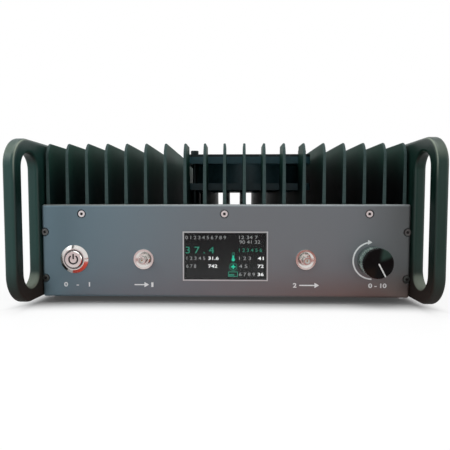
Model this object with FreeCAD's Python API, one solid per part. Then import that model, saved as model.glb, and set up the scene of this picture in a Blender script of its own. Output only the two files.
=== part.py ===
import FreeCAD, Part
import math
import os

# RF power amplifier for the bench: a low case between two side plates that carry the handles,
# a finned heat sink over the whole top with a fan lying in a pocket of its fins, and a front
# panel with a power button, two coaxial connectors, a display and a gain knob.
# Millimetres. +Z is up, the front faces -Y, and the origin is on the table under the middle.

# Clearances
seat_gap = 0.3
screw_play = 0.3
thread_gap = 0.05
running_gap = 0.05
button_gap = 0.3

# Case
case_width = 328.0
case_depth = 276.0
foot_height = 6.0
side_height = 138.0
side_thickness = 10.0
side_edge_radius = 2.8
side_screw_shares = (0.12, 0.5, 0.88)
side_rear_radius = 6.0

# Handles, one with each side plate
handle_reach = 44.0
handle_top_radius = 24.0
handle_bottom_radius = 26.0
handle_bar = 13.0
grip_depth = 27.0
grip_bottom = 13.0
grip_top = 126.0
grip_end_radius = 13.2

# Front panel
panel_height = 83.0
panel_thickness = 5.0
panel_corner_radius = 2.0
panel_edge_radius = 2.4
panel_top_screw_inset = 36.5
panel_side_screw_inset = 2.7
panel_side_screw_low = 16.8
panel_side_screw_high = 58.3
counterbore_radius = 3.9

# Rear panel
rear_thickness = 3.0
rear_recess = 12.0
rear_vent_count = 12
rear_vent_pitch = 8.0
rear_vent_width = 3.0
rear_vent_height = 34.0
rear_vent_inset = 53.0

# Bottom cover
cover_thickness = 2.0
cover_rise = 0.5
cover_lip = 10.0
cover_vent_count = 14
cover_vent_pitch = 9.0
cover_vent_width = 3.5
cover_vent_length = 52.0

# Corner bars
bar_size = 10.0

# Heat sink
base_drop = 2.5
base_thickness = 12.0
fin_pitch = 17.7
fin_root_width = 3.2
fin_tip_width = 2.2
fin_nose_depth = 7.0
fin_nose_height = 18.0
sink_rear_inset = 2.0

# Fan pocket
pocket_end_gap = 3.0
fan_right_of_middle = 22.2
fan_behind_panel = 97.0
fan_above_base = 16.1

# Fan
fan_size = 120.0
fan_thickness = 32.0
fan_corner_radius = 5.0
fan_top_flange = 6.5
fan_bottom_flange = 6.5
fan_wall = 1.6
fan_barrel_inset = 0.6
fan_hole_inset = 7.5
fan_strut_count = 4
fan_strut_width = 5.0
fan_strut_height = 4.0
motor_radius = 24.0
bearing_tube_radius = 6.2
bearing_tube_height = 24.0
bearing_width = 4.0
fan_shaft_radius = 1.5
stator_radius = 18.5
stator_height = 14.0
stator_slope = 2.0
blade_count = 7
blade_thickness = 1.8
blade_chords = (27.0, 33.0, 40.0)
blade_pitches = (46.0, 36.0, 27.0)
blade_camber = 0.07
blade_tip_gap = 1.6
rotor_rise = 7.0
rotor_top = 30.0
rotor_wall = 2.2
guard_thickness = 2.4
guard_ring_width = 3.0
guard_spoke_width = 4.0
guard_slot_width = 10.0
guard_ring_count = 4
fan_post_radius = 3.0
fan_bolt_radius = 2.0
fan_bolt_head_radius = 3.8
fan_bolt_head_height = 4.0

# Screws
m3_radius = 1.5
m3_head_radius = 2.9
m3_head_height = 2.2
m3_socket = 2.5
m4_radius = 2.0
m4_head_radius = 3.5
m4_head_height = 3.6
m4_socket = 3.0
socket_share = 0.6
panel_screw_reach = 8.0
side_screw_reach = 8.0
cover_screw_reach = 6.0
head_sink = 0.3

# Controls on the front panel
control_row = 34.0
power_inset = 29.8
connector_inset = 92.0
gain_inset = 34.0

# Power switch
bezel_radius = 12.5
bezel_rim = 0.6
bezel_height = 2.4
bezel_top_radius = 9.6
switch_barrel_radius = 10.8
switch_depth = 24.0
switch_well_radius = 8.9
switch_well_depth = 12.0
light_ring_wall = 0.8
light_ring_height = 5.0
light_ring_sink = 0.5
button_radius = 7.6
button_rise = 3.6
button_head = 6.0
button_edge_radius = 0.5
button_stem_radius = 4.0
button_stem_length = 8.0
button_travel = 2.5
switch_nut_across = 27.0
switch_nut_height = 4.0
switch_base_radius = 9.5
switch_base_height = 6.0
switch_tab_width = 2.8
switch_tab_thickness = 0.6
switch_tab_length = 6.0
switch_tab_offset = 5.0

# Coaxial connectors
connector_reach = 10.0
connector_thread_radius = 3.175
connector_bore_radius = 2.3
connector_mouth_depth = 1.9
connector_washer_radius = 9.25
connector_washer_height = 1.2
connector_dish_radius = 7.2
connector_dish_depth = 0.4
connector_nut_across = 7.94
connector_nut_height = 2.4
connector_flange_height = 2.0
connector_tail = 7.0
thread_relief_width = 0.5
thread_relief_depth = 0.3
contact_radius = 0.64
contact_bore_radius = 0.47

# Display
display_x = 0.8
display_centre = 36.9
window_width = 73.4
window_height = 41.8
display_frame_width = 1.2
display_frame_rise = 0.4
display_ledge = 0.8
glass_thickness = 1.6
glass_sink = 0.3
module_border = 4.4
module_thickness = 3.6
board_thickness = 1.6
spacer_inset = 3.2
spacer_radius = 2.5

# Gain knob and potentiometer
gain_drop = 0.7
knob_radius = 13.0
knob_height = 18.4
knob_lift = 0.9
knob_flute_count = 40
knob_flute_depth = 0.45
knob_flute_half_width = 0.9
knob_smooth_height = 11.0
knob_face_chamfer = 0.8
knob_recess_radius = 8.5
knob_recess_depth = 5.0
knob_bore_depth = 13.0
pointer_width = 1.3
pointer_depth = 0.4
pointer_angle = 152.0
set_screw_radius = 1.5
set_screw_height = 9.0
set_screw_socket = 1.5
set_screw_sink = 0.8
pot_shaft_radius = 3.0
pot_bushing_radius = 3.5
pot_bushing_reach = 5.0
pot_body_radius = 8.5
pot_body_depth = 10.0
pot_nut_across = 10.0
pot_nut_height = 2.0

# Mains inlet
inlet_inset = 54.0
inlet_height = 38.0
inlet_flange_width = 48.0
inlet_flange_height = 27.0
inlet_flange_thickness = 3.0
inlet_screw_spacing = 40.0
inlet_body_width = 27.0
inlet_body_height = 19.8
inlet_body_depth = 22.0
inlet_wall = 1.3
inlet_floor = 4.0
inlet_corner = 4.6
pin_width = 2.0
pin_height = 4.0
pin_spacing = 7.0
pin_offset = 2.0
pin_length = 15.5

# Earth stud
stud_spacing = 42.0
stud_radius = 2.5
stud_free_length = 11.0
stud_nut_across = 8.0
stud_nut_height = 4.0
stud_collar_radius = 5.0
stud_collar_height = 2.0

# RF module on the underside of the heat sink base
module_right_of_middle = 26.5
module_behind_panel = 127.0
module_length = 130.0
module_width = 100.0
module_depth = 20.0
module_wall = 5.0
module_flange = 10.0
module_flange_thickness = 4.0
module_lid_thickness = 2.0
module_input_x = -20.0
module_jack_radius = 4.0
module_jack_length = 9.0
module_jack_drop = 11.0
module_screw_inset = 5.0
lid_screw_inset = 2.5
lid_screw_radius = 1.1
lid_screw_head_radius = 1.9
lid_screw_head_height = 1.4
lid_screw_reach = 6.0
circuit_thickness = 1.0
circuit_gap = 1.5
device_spread = 0.6
device_width = 14.0
device_length = 8.0
device_height = 4.0

# Semi-rigid coax
coax_radius = 1.8
coax_run = 17.0
coax_end_run = 14.0
coax_bend_radius = 9.0
coax_nut_length = 7.0

# Power supply
supply_length = 215.0
supply_width = 115.0
supply_height = 30.0
supply_side_gap = 9.0
supply_rear_gap = 26.0
supply_wall = 1.5
terminal_depth = 14.0
terminal_height = 12.0
terminal_count = 9
terminal_pitch = 9.5
terminal_slot = 6.5
terminal_slot_depth = 7.0
supply_screw_inset = 20.0

# Control board
control_board_inset = 94.0
control_board_gap = 5.0
control_board_length = 110.0
control_board_width = 70.0
standoff_height = 8.0
standoff_radius = 3.0
standoff_inset = 5.0
socket_offsets = (-32.0, -4.0, 22.0)
socket_widths = (22.0, 16.0, 26.0)
socket_depth = 8.0
socket_height = 8.0
socket_wall = 1.0
socket_edge_gap = 1.0
choke_offsets = (-30.0, -8.0)
choke_inner_radius = 4.0
choke_outer_radius = 9.0
choke_height = 9.0
cooler_offset = 18.0
cooler_fin_count = 5
cooler_fin_pitch = 5.0
cooler_fin_thickness = 1.6
cooler_fin_length = 24.0
cooler_height = 14.0

# Feet
foot_inset = 39.0
foot_behind_panel = 38.0
foot_ahead_of_rear = 20.0
foot_top_radius = 9.5
foot_bottom_radius = 8.0
foot_recess_radius = 4.2
foot_recess_depth = 3.4

# Planes and centres that the pieces share
front_y = handle_reach - (handle_reach + case_depth) / 2
rear_y = front_y + case_depth
inner_x = case_width / 2
outer_x = inner_x + side_thickness
bottom_z = foot_height
top_z = bottom_z + side_height
panel_back_y = front_y + panel_thickness
panel_top_z = bottom_z + panel_height
panel_half_width = inner_x - seat_gap
rear_outer_y = rear_y - rear_recess
rear_inner_y = rear_outer_y - rear_thickness
cover_bottom_z = bottom_z + cover_rise
cover_top_z = cover_bottom_z + cover_thickness
base_top_z = panel_top_z - base_drop
base_bottom_z = base_top_z - base_thickness
base_middle_z = base_top_z - base_thickness / 2
bar_outer_x = inner_x - seat_gap
bar_inner_x = bar_outer_x - bar_size
bar_middle_x = bar_outer_x - bar_size / 2
side_screw_low_z = bottom_z + (panel_side_screw_low + panel_side_screw_high) / 2
panel_side_screw_x = panel_half_width - panel_side_screw_inset
panel_top_screw_x = inner_x - panel_top_screw_inset
fins_each_side = int((panel_half_width - fin_root_width / 2) / fin_pitch)
power_x = power_inset - inner_x
input_x = connector_inset - inner_x
output_x = inner_x - connector_inset
gain_x = inner_x - gain_inset
foot_x = inner_x - foot_inset
control_z = bottom_z + control_row
gain_z = control_z - gain_drop
pocket_reach = fan_size / 2 + seat_gap + fin_root_width / 2
pocket_first_fin = math.ceil((fan_right_of_middle - pocket_reach) / fin_pitch)
pocket_last_fin = math.floor((fan_right_of_middle + pocket_reach) / fin_pitch)
pocket_length = fan_size + 2 * pocket_end_gap
fan_x = fan_right_of_middle
fan_y = front_y + fan_behind_panel
fan_bottom_z = base_top_z + fan_above_base
fan_top_z = fan_bottom_z + fan_thickness
sink_length = case_depth - panel_thickness - sink_rear_inset
fan_bore_radius = fan_size / 2 - fan_barrel_inset - fan_wall
blade_tip_radius = fan_bore_radius - blade_tip_gap
bearing_radius = bearing_tube_radius - fan_wall
post_stud_length = base_thickness / 2
post_thread_depth = fan_above_base / 2
display_z = bottom_z + display_centre
spacer_border = module_border + seat_gap + spacer_radius
inlet_x = inlet_inset - inner_x
inlet_z = bottom_z + inlet_height
stud_x = inlet_x + stud_spacing
rear_vent_x = inner_x - rear_vent_inset - (rear_vent_count - 1) * rear_vent_pitch - rear_vent_width
inlet_screw_xs = (inlet_x - inlet_screw_spacing / 2, inlet_x + inlet_screw_spacing / 2)
module_mid_x = module_right_of_middle
module_mid_y = front_y + module_behind_panel
module_front_y = module_mid_y - module_width / 2
module_lid_z = base_bottom_z - module_depth
module_jack_z = base_bottom_z - module_jack_drop
supply_left = supply_side_gap - inner_x
supply_rear_y = rear_inner_y - supply_rear_gap
supply_front_y = supply_rear_y - supply_width
control_board_x = inner_x - control_board_inset
control_board_y = supply_front_y - control_board_gap - control_board_width / 2

# Directions
up = FreeCAD.Vector(0, 0, 1)
down = FreeCAD.Vector(0, 0, -1)
forward = FreeCAD.Vector(0, -1, 0)
backward = FreeCAD.Vector(0, 1, 0)
rightward = FreeCAD.Vector(1, 0, 0)


def point(x, y, z):
    return FreeCAD.Vector(x, y, z)


def block(x0, x1, y0, y1, z0, z1):
    """Box between two planes on each axis."""
    return Part.makeBox(x1 - x0, y1 - y0, z1 - z0, point(x0, y0, z0))


def rod(radius, start, end):
    """Round bar from one point to another."""
    return Part.makeCylinder(radius, (end - start).Length, start, end - start)


def placed(shape, at, direction):
    """A shape made on the Z axis, moved so that its origin is at a point and Z runs along a direction."""
    shape.Placement = FreeCAD.Placement(at, FreeCAD.Rotation(up, direction))
    return shape


def turned(profile, at, direction):
    """Lathe-turned solid from (radius, distance along the axis) points."""
    points = [point(radius, 0, distance) for radius, distance in profile]
    face = Part.Face(Part.makePolygon(points + points[:1]))
    return placed(face.revolve(point(0, 0, 0), up, 360), at, direction)


def hexagon(across, start, end):
    """Hexagonal prism, given across its flats, from one point to another."""
    corner = across / math.sqrt(3)
    angles = [math.radians(60 * side) for side in range(7)]
    outline = Part.makePolygon([point(corner * math.cos(a), corner * math.sin(a), 0) for a in angles])
    length = (end - start).Length
    return placed(Part.Face(outline).extrude(up * length), start, end - start)


def rounded_wire(corners):
    """Closed wire through (corner, radius) pairs, each corner turned by an arc of that radius."""
    arcs = []
    for index, (corner, radius) in enumerate(corners):
        back = (corners[index - 1][0] - corner).normalize()
        ahead = (corners[(index + 1) % len(corners)][0] - corner).normalize()
        half_angle = back.getAngle(ahead) / 2
        reach = radius / math.tan(half_angle)
        inset = radius / math.sin(half_angle) - radius
        middle = corner + (back + ahead).normalize() * inset
        arcs.append((corner + back * reach, middle, corner + ahead * reach, radius))
    edges = []
    for index, (start, middle, end, radius) in enumerate(arcs):
        if radius > 0:
            edges.append(Part.Arc(start, middle, end).toShape())
        edges.append(Part.LineSegment(end, arcs[(index + 1) % len(arcs)][0]).toShape())
    return Part.Wire(edges)


def rounded_block(width, depth, radius, height, centre):
    """Upright plate with rounded corners, centred over a point on its underside."""
    signs = [(-1, -1), (1, -1), (1, 1), (-1, 1)]
    corners = [(centre + point(i * width / 2, j * depth / 2, 0), radius) for i, j in signs]
    return Part.Face(rounded_wire(corners)).extrude(up * height)


def cap_screw(radius, head_radius, head_height, socket, reach, seat, out):
    """Socket-head screw: seat is the point under its head, and out points from shank to head."""
    top = seat + out * head_height
    shank = rod(radius, seat - out * reach, seat)
    recess = hexagon(socket, top - out * head_height * socket_share, top)
    return rod(head_radius, seat, top).fuse(shank).cut(recess)


def m3_screw(reach, seat, out):
    return cap_screw(m3_radius, m3_head_radius, m3_head_height, m3_socket, reach, seat, out)


def m4_screw(reach, seat, out):
    return cap_screw(m4_radius, m4_head_radius, m4_head_height, m4_socket, reach, seat, out)


def mirrored(shape):
    """The same shape on the other side of the case's middle plane."""
    return shape.mirror(point(0, 0, 0), rightward)


def save(node, solids):
    shape = solids[0] if len(solids) == 1 else Part.makeCompound(solids)
    shape.exportStep(os.path.join("parts", node + ".step"))


# Side plates: the plate, its handle loop and its counterbored screw holes

def side_screw_places():
    """(y, z) of the screws through each side plate: a row in the heat sink base, one in each corner bar."""
    sink_ys = [front_y + case_depth * share for share in side_screw_shares]
    places = [(y, base_middle_z) for y in sink_ys]
    places.append((panel_back_y + bar_size / 2, side_screw_low_z))
    places.append((rear_inner_y - bar_size / 2, side_screw_low_z))
    return places


def side_plate():
    """Right-hand side plate."""
    front = front_y - handle_reach
    outline = rounded_wire([
        (point(inner_x, front, bottom_z), handle_bottom_radius),
        (point(inner_x, rear_y, bottom_z), side_rear_radius),
        (point(inner_x, rear_y, top_z), side_rear_radius),
        (point(inner_x, front, top_z), handle_top_radius),
    ])
    slot_front = front + handle_bar
    slot_back = slot_front + grip_depth
    slot = rounded_wire([
        (point(inner_x, slot_front, bottom_z + grip_bottom), grip_end_radius),
        (point(inner_x, slot_back, bottom_z + grip_bottom), grip_end_radius),
        (point(inner_x, slot_back, bottom_z + grip_top), grip_end_radius),
        (point(inner_x, slot_front, bottom_z + grip_top), grip_end_radius),
    ])
    thickness = rightward * side_thickness
    plate = Part.Face(outline).extrude(thickness).cut(Part.Face(slot).extrude(thickness))
    rims = [edge for edge in plate.Edges if edge.BoundBox.XLength < seat_gap]
    plate = plate.makeFillet(side_edge_radius, rims)
    seat_x = outer_x - m4_head_height - head_sink
    holes = []
    for y, z in side_screw_places():
        holes.append(rod(m4_radius + screw_play, point(inner_x, y, z), point(outer_x, y, z)))
        holes.append(rod(m4_head_radius + screw_play, point(seat_x, y, z), point(outer_x, y, z)))
    return plate.cut(holes)


def side_screws():
    seat_x = outer_x - m4_head_height - head_sink
    reach = seat_x - inner_x + side_screw_reach
    right = [m4_screw(reach, point(seat_x, y, z), rightward) for y, z in side_screw_places()]
    return right + [mirrored(screw) for screw in right]


# Front panel with its window, its bores and the counterbores for its screws

def panel_screw_places():
    """(x, z) of the screws in the front panel: three into the heat sink base, four into the corner bars."""
    places = [(x, base_middle_z) for x in (-panel_top_screw_x, 0, panel_top_screw_x)]
    for height in (panel_side_screw_low, panel_side_screw_high):
        places.append((-panel_side_screw_x, bottom_z + height))
        places.append((panel_side_screw_x, bottom_z + height))
    return places


def rear_screw_places():
    heights = (panel_side_screw_low, panel_side_screw_high)
    return [(sign * bar_middle_x, bottom_z + height) for sign in (-1, 1) for height in heights]


def front_panel():
    corners = [(-1, bottom_z), (1, bottom_z), (1, panel_top_z), (-1, panel_top_z)]
    outline = rounded_wire([
        (point(side * panel_half_width, panel_back_y, z), panel_corner_radius) for side, z in corners
    ])
    panel = Part.Face(outline).extrude(forward * panel_thickness)
    rims = [edge for edge in panel.Edges if edge.BoundBox.YMax < front_y + seat_gap]
    panel = panel.makeFillet(panel_edge_radius, rims)
    half_width = window_width / 2 + display_frame_width + seat_gap / 2
    half_height = window_height / 2 + display_frame_width + seat_gap / 2
    window = block(display_x - half_width, display_x + half_width, front_y, panel_back_y,
                   display_z - half_height, display_z + half_height)
    cuts = [window]
    bores = [
        (power_x, control_z, switch_barrel_radius),
        (input_x, control_z, connector_thread_radius),
        (output_x, control_z, connector_thread_radius),
        (gain_x, gain_z, pot_bushing_radius),
    ]
    for x, z, radius in bores:
        cuts.append(rod(radius + screw_play, point(x, front_y, z), point(x, panel_back_y, z)))
    seat_y = front_y + m3_head_height + head_sink
    for x, z in panel_screw_places():
        cuts.append(rod(m3_radius + screw_play, point(x, front_y, z), point(x, panel_back_y, z)))
        cuts.append(rod(counterbore_radius, point(x, front_y, z), point(x, seat_y, z)))
    return panel.cut(cuts)


def panel_screws():
    seat_y = front_y + m3_head_height + head_sink
    reach = panel_back_y - seat_y + panel_screw_reach
    return [m3_screw(reach, point(x, seat_y, z), forward) for x, z in panel_screw_places()]


# Rear panel, recessed between the side plates under the heat sink

def rear_panel():
    panel = block(-panel_half_width, panel_half_width, rear_inner_y, rear_outer_y,
                  bottom_z, base_bottom_z - seat_gap)
    cuts = []
    for index in range(rear_vent_count):
        x = rear_vent_x + index * rear_vent_pitch
        z = inlet_z - rear_vent_height / 2
        cuts.append(block(x, x + rear_vent_width, rear_inner_y, rear_outer_y, z, z + rear_vent_height))
    for x, z in rear_screw_places():
        cuts.append(rod(m3_radius + screw_play, point(x, rear_inner_y, z), point(x, rear_outer_y, z)))
    bores = [(x, m3_radius) for x in inlet_screw_xs] + [(stud_x, stud_radius)]
    for x, radius in bores:
        start = point(x, rear_inner_y, inlet_z)
        cuts.append(rod(radius + screw_play, start, start + backward * rear_thickness))
    cuts.append(inlet_block(inlet_body_width + 2 * seat_gap, inlet_body_height + 2 * seat_gap,
                            rear_inner_y, rear_outer_y))
    return panel.cut(cuts)


def rear_screws():
    reach = rear_thickness + panel_screw_reach
    return [m3_screw(reach, point(x, rear_outer_y, z), backward) for x, z in rear_screw_places()]


# Corner bars: upright bars that tie the panels, the side plates and the bottom cover together

def corner_bars():
    bars = []
    corners = [(panel_back_y, panel_screw_places()), (rear_inner_y - bar_size, rear_screw_places())]
    for y, panel_places in corners:
        bar = block(bar_inner_x, bar_outer_x, y, y + bar_size, cover_top_z, base_bottom_z)
        middle_y = y + bar_size / 2
        low = point(bar_inner_x, middle_y, side_screw_low_z)
        holes = [rod(m4_radius + thread_gap, low, low + rightward * bar_size)]
        for x, z in panel_places:
            if x > bar_inner_x:
                holes.append(rod(m3_radius + thread_gap, point(x, y, z), point(x, y + bar_size, z)))
        foot = point(bar_middle_x, middle_y, cover_top_z)
        holes.append(rod(m3_radius + thread_gap, foot, foot + up * (cover_screw_reach + seat_gap)))
        bars.append(bar.cut(holes))
    return bars + [mirrored(bar) for bar in bars]


# Bottom cover with turned-up lips and vents, and what is fastened from below

def cover_screw_places():
    ys = (panel_back_y + bar_size / 2, rear_inner_y - bar_size / 2)
    return [(sign * bar_middle_x, y) for sign in (-1, 1) for y in ys]


def foot_places():
    ys = (front_y + foot_behind_panel, rear_outer_y - foot_ahead_of_rear)
    return [(sign * foot_x, y) for sign in (-1, 1) for y in ys]


def supply_screw_places():
    xs = (supply_left + supply_screw_inset, supply_left + supply_length - supply_screw_inset)
    ys = (supply_front_y + supply_screw_inset, supply_rear_y - supply_screw_inset)
    return [(x, y) for x in xs for y in ys]


def bottom_cover():
    front = panel_back_y + seat_gap
    rear = rear_inner_y - seat_gap
    cover = block(-panel_half_width, panel_half_width, front, rear, cover_bottom_z, cover_top_z)
    lip = block(panel_half_width - cover_thickness, panel_half_width, front + bar_size + seat_gap,
                rear - bar_size - seat_gap, cover_top_z, cover_top_z + cover_lip)
    cover = cover.fuse([lip, mirrored(lip)])
    cuts = []
    vent_y = (supply_front_y + supply_rear_y - cover_vent_length) / 2
    first_x = supply_left + (supply_length - (cover_vent_count - 1) * cover_vent_pitch - cover_vent_width) / 2
    for index in range(cover_vent_count):
        x = first_x + index * cover_vent_pitch
        cuts.append(block(x, x + cover_vent_width, vent_y, vent_y + cover_vent_length,
                          cover_bottom_z, cover_top_z))
    through = cover_screw_places() + foot_places() + supply_screw_places() + standoff_places()
    for x, y in through:
        cuts.append(rod(m3_radius + screw_play, point(x, y, cover_bottom_z), point(x, y, cover_top_z)))
    return cover.cut(cuts).removeSplitter()


def low_screw(reach, x, y, seat_z):
    """M3 screw driven upwards."""
    return m3_screw(reach, point(x, y, seat_z), down)


def cover_screws():
    reach = cover_thickness + cover_screw_reach
    return [low_screw(reach, x, y, cover_bottom_z) for x, y in cover_screw_places()]


def feet():
    height = cover_bottom_z
    hole = m3_radius + screw_play
    profile = [
        (foot_recess_radius, 0),
        (foot_bottom_radius, 0),
        (foot_top_radius, height),
        (hole, height),
        (hole, foot_recess_depth),
        (foot_recess_radius, foot_recess_depth),
    ]
    return [turned(profile, point(x, y, 0), up) for x, y in foot_places()]


def foot_screws():
    reach = cover_top_z - foot_recess_depth + cover_thickness
    return [low_screw(reach, x, y, foot_recess_depth) for x, y in foot_places()]


# Heat sink: base and fins of one extrusion, milled for the fan, drilled for what it carries

def fin(index):
    x = index * fin_pitch
    root = fin_root_width / 2
    tip = fin_tip_width / 2
    shoulder_z = top_z - tip
    left_root = point(x - root, panel_back_y, base_top_z)
    right_root = point(x + root, panel_back_y, base_top_z)
    left_tip = point(x - tip, panel_back_y, shoulder_z)
    right_tip = point(x + tip, panel_back_y, shoulder_z)
    outline = Part.Wire([
        Part.LineSegment(left_root, left_tip).toShape(),
        Part.Arc(left_tip, point(x, panel_back_y, top_z), right_tip).toShape(),
        Part.LineSegment(right_tip, right_root).toShape(),
        Part.LineSegment(right_root, left_root).toShape(),
    ])
    return Part.Face(outline).extrude(backward * sink_length)


def nose_cutter():
    """Takes the corner off the front of all the fins along one long curve."""
    low = point(-inner_x, panel_back_y, top_z - fin_nose_height)
    high = point(-inner_x, panel_back_y + fin_nose_depth, top_z)
    corner = point(-inner_x, panel_back_y, top_z)
    middle = corner + point(0, fin_nose_depth, -fin_nose_height) * (1 - math.sqrt(0.5))
    outline = Part.Wire([
        Part.Arc(low, middle, high).toShape(),
        Part.LineSegment(high, corner).toShape(),
        Part.LineSegment(corner, low).toShape(),
    ])
    return Part.Face(outline).extrude(rightward * case_width)


def pocket_cutter():
    left = (pocket_first_fin - 0.5) * fin_pitch
    right = (pocket_last_fin + 0.5) * fin_pitch
    front = fan_y - pocket_length / 2
    return block(left, right, front, front + pocket_length, fan_bottom_z - seat_gap, top_z)


def fan_hole_places():
    reach = fan_size / 2 - fan_hole_inset
    return [(fan_x + i * reach, fan_y + j * reach) for i in (-1, 1) for j in (-1, 1)]


def heat_sink():
    base = block(-panel_half_width, panel_half_width, panel_back_y, panel_back_y + sink_length,
                 base_bottom_z, base_top_z)
    sink = base.fuse([fin(index) for index in range(-fins_each_side, fins_each_side + 1)])
    cuts = [pocket_cutter(), nose_cutter()]
    for x, z in panel_screw_places():
        if z == base_middle_z:
            start = point(x, panel_back_y, z)
            cuts.append(rod(m3_radius + thread_gap, start, start + backward * (panel_screw_reach + seat_gap)))
    for y, z in side_screw_places():
        if z == base_middle_z:
            start = point(panel_half_width, y, z)
            hole = rod(m4_radius + thread_gap, start, start - rightward * (side_screw_reach + seat_gap))
            cuts += [hole, mirrored(hole)]
    for x, y in fan_hole_places():
        start = point(x, y, base_top_z)
        cuts.append(rod(fan_bolt_radius + thread_gap, start, start + down * (post_stud_length + seat_gap)))
        cuts.append(rod(fan_post_radius + seat_gap, start, start + up * fan_above_base))
    for x, y in module_screw_places():
        start = point(x, y, base_bottom_z)
        cuts.append(rod(m3_radius + thread_gap, start, start + up * (cover_screw_reach + seat_gap)))
    return sink.cut(cuts).removeSplitter()


# Fan: frame, rotor, motor and guard, standing on posts in the channels between the fins

def fan_frame():
    centre = point(fan_x, fan_y, fan_bottom_z)
    bore_radius = fan_bore_radius
    low_flange = rounded_block(fan_size, fan_size, fan_corner_radius, fan_bottom_flange, centre)
    high_flange = rounded_block(fan_size, fan_size, fan_corner_radius, fan_top_flange,
                                centre + up * (fan_thickness - fan_top_flange))
    barrel = rod(bore_radius + fan_wall, centre, centre + up * fan_thickness)
    frame = barrel.fuse([low_flange, high_flange]).cut(rod(bore_radius, centre, centre + up * fan_thickness))
    parts = [
        rod(motor_radius, centre, centre + up * fan_strut_height),
        rod(bearing_tube_radius, centre, centre + up * bearing_tube_height),
    ]
    for index in range(fan_strut_count):
        strut = block(fan_x, fan_x + bore_radius + fan_wall / 2, fan_y - fan_strut_width / 2,
                      fan_y + fan_strut_width / 2, fan_bottom_z, fan_bottom_z + fan_strut_height)
        strut.rotate(centre, up, 360 * (index + 0.5) / fan_strut_count)
        parts.append(strut)
    holes = [rod(bearing_radius + thread_gap, centre + up * fan_strut_height,
                 centre + up * bearing_tube_height)]
    for x, y in fan_hole_places():
        holes.append(rod(fan_bolt_radius + screw_play, point(x, y, fan_bottom_z), point(x, y, fan_top_z)))
    return frame.fuse(parts).cut(holes).removeSplitter()


def blade_section(radius, chord, degrees):
    """Curved blade section on a plane at one radius: two arcs that share their ends."""
    pitch = math.radians(degrees)
    half = chord / 2
    along = point(0, math.cos(pitch), math.sin(pitch))
    across = point(0, -math.sin(pitch), math.cos(pitch))
    middle = point(radius, 0, (rotor_rise + rotor_top) / 2)
    lead = middle - along * half
    trail = middle + along * half
    camber = chord * blade_camber
    top = Part.Arc(lead, middle + across * (camber + blade_thickness), trail).toShape()
    underside = Part.Arc(trail, middle + across * camber, lead).toShape()
    return Part.Wire([top, underside])


def fan_rotor():
    """Motor cup with its swept blades."""
    radii = (
        motor_radius - rotor_wall / 2,
        (motor_radius + blade_tip_radius) / 2,
        blade_tip_radius + fan_wall,
    )
    sections = [blade_section(*section) for section in zip(radii, blade_chords, blade_pitches)]
    blade = Part.makeLoft(sections, True)
    blade = blade.common(Part.makeCylinder(blade_tip_radius, rotor_top + rotor_rise))
    blades = []
    for index in range(blade_count):
        copy = blade.copy()
        copy.rotate(point(0, 0, 0), up, 360 * index / blade_count)
        blades.append(copy)
    cup = turned([
        (0, rotor_top - rotor_wall),
        (motor_radius - rotor_wall, rotor_top - rotor_wall),
        (motor_radius - rotor_wall, rotor_rise),
        (motor_radius, rotor_rise),
        (motor_radius, rotor_top - rotor_wall / 2),
        (motor_radius - rotor_wall / 2, rotor_top),
        (0, rotor_top),
    ], point(0, 0, 0), up)
    hollow = Part.makeCylinder(motor_radius - rotor_wall, rotor_top - rotor_wall)
    shaft_seat = Part.makeCylinder(fan_shaft_radius + thread_gap, rotor_top)
    rotor = cup.fuse(blades).cut([hollow, shaft_seat]).removeSplitter()
    rotor.translate(point(fan_x, fan_y, fan_bottom_z))
    return rotor


def fan_shaft():
    start = point(fan_x, fan_y, fan_bottom_z + fan_strut_height + seat_gap)
    return rod(fan_shaft_radius, start, point(fan_x, fan_y, fan_bottom_z + rotor_top))


def fan_bearings():
    centre = point(fan_x, fan_y, fan_bottom_z)
    bore = fan_shaft_radius + running_gap
    rings = []
    for start in (fan_strut_height, bearing_tube_height - bearing_width):
        ring = [(bore, start), (bearing_radius, start), (bearing_radius, start + bearing_width),
                (bore, start + bearing_width)]
        rings.append(turned(ring, centre, up))
    return rings


def fan_stator():
    """Laminated motor core around the bearing tube."""
    inner = bearing_tube_radius + thread_gap
    low = fan_strut_height
    high = low + stator_height
    profile = [
        (inner, low),
        (stator_radius, low + stator_slope),
        (stator_radius, high - stator_slope),
        (inner, high),
    ]
    return turned(profile, point(fan_x, fan_y, fan_bottom_z), up)


def fan_guard():
    """Finger guard cut from plate: rings held by four spokes."""
    base = point(fan_x, fan_y, fan_top_z)
    top = base + up * guard_thickness
    plate = rounded_block(fan_size, fan_size, fan_corner_radius, guard_thickness, base)
    slots = []
    outer = fan_bore_radius
    for index in range(guard_ring_count):
        slots.append(rod(outer, base, top).cut(rod(outer - guard_slot_width, base, top)))
        outer -= guard_slot_width + guard_ring_width
    bar = block(fan_x - fan_bore_radius, fan_x + fan_bore_radius, fan_y - guard_spoke_width / 2,
                fan_y + guard_spoke_width / 2, fan_top_z, fan_top_z + guard_thickness)
    bar.rotate(base, up, 45)
    spokes = [bar, mirrored(bar).translated(rightward * 2 * fan_x)]
    holes = [rod(fan_bolt_radius + screw_play, point(x, y, base.z), point(x, y, top.z))
             for x, y in fan_hole_places()]
    return plate.cut(slots).fuse(spokes).cut(holes).removeSplitter()


def fan_posts():
    """Posts screwed into the heat sink base, tapped at the top for the fan bolts."""
    profile = [
        (0, -post_stud_length),
        (fan_bolt_radius, -post_stud_length),
        (fan_bolt_radius, 0),
        (fan_post_radius, 0),
        (fan_post_radius, fan_above_base),
        (fan_bolt_radius + thread_gap, fan_above_base),
        (fan_bolt_radius + thread_gap, fan_above_base - post_thread_depth - seat_gap),
        (0, fan_above_base - post_thread_depth - seat_gap),
    ]
    return [turned(profile, point(x, y, base_top_z), up) for x, y in fan_hole_places()]


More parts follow.
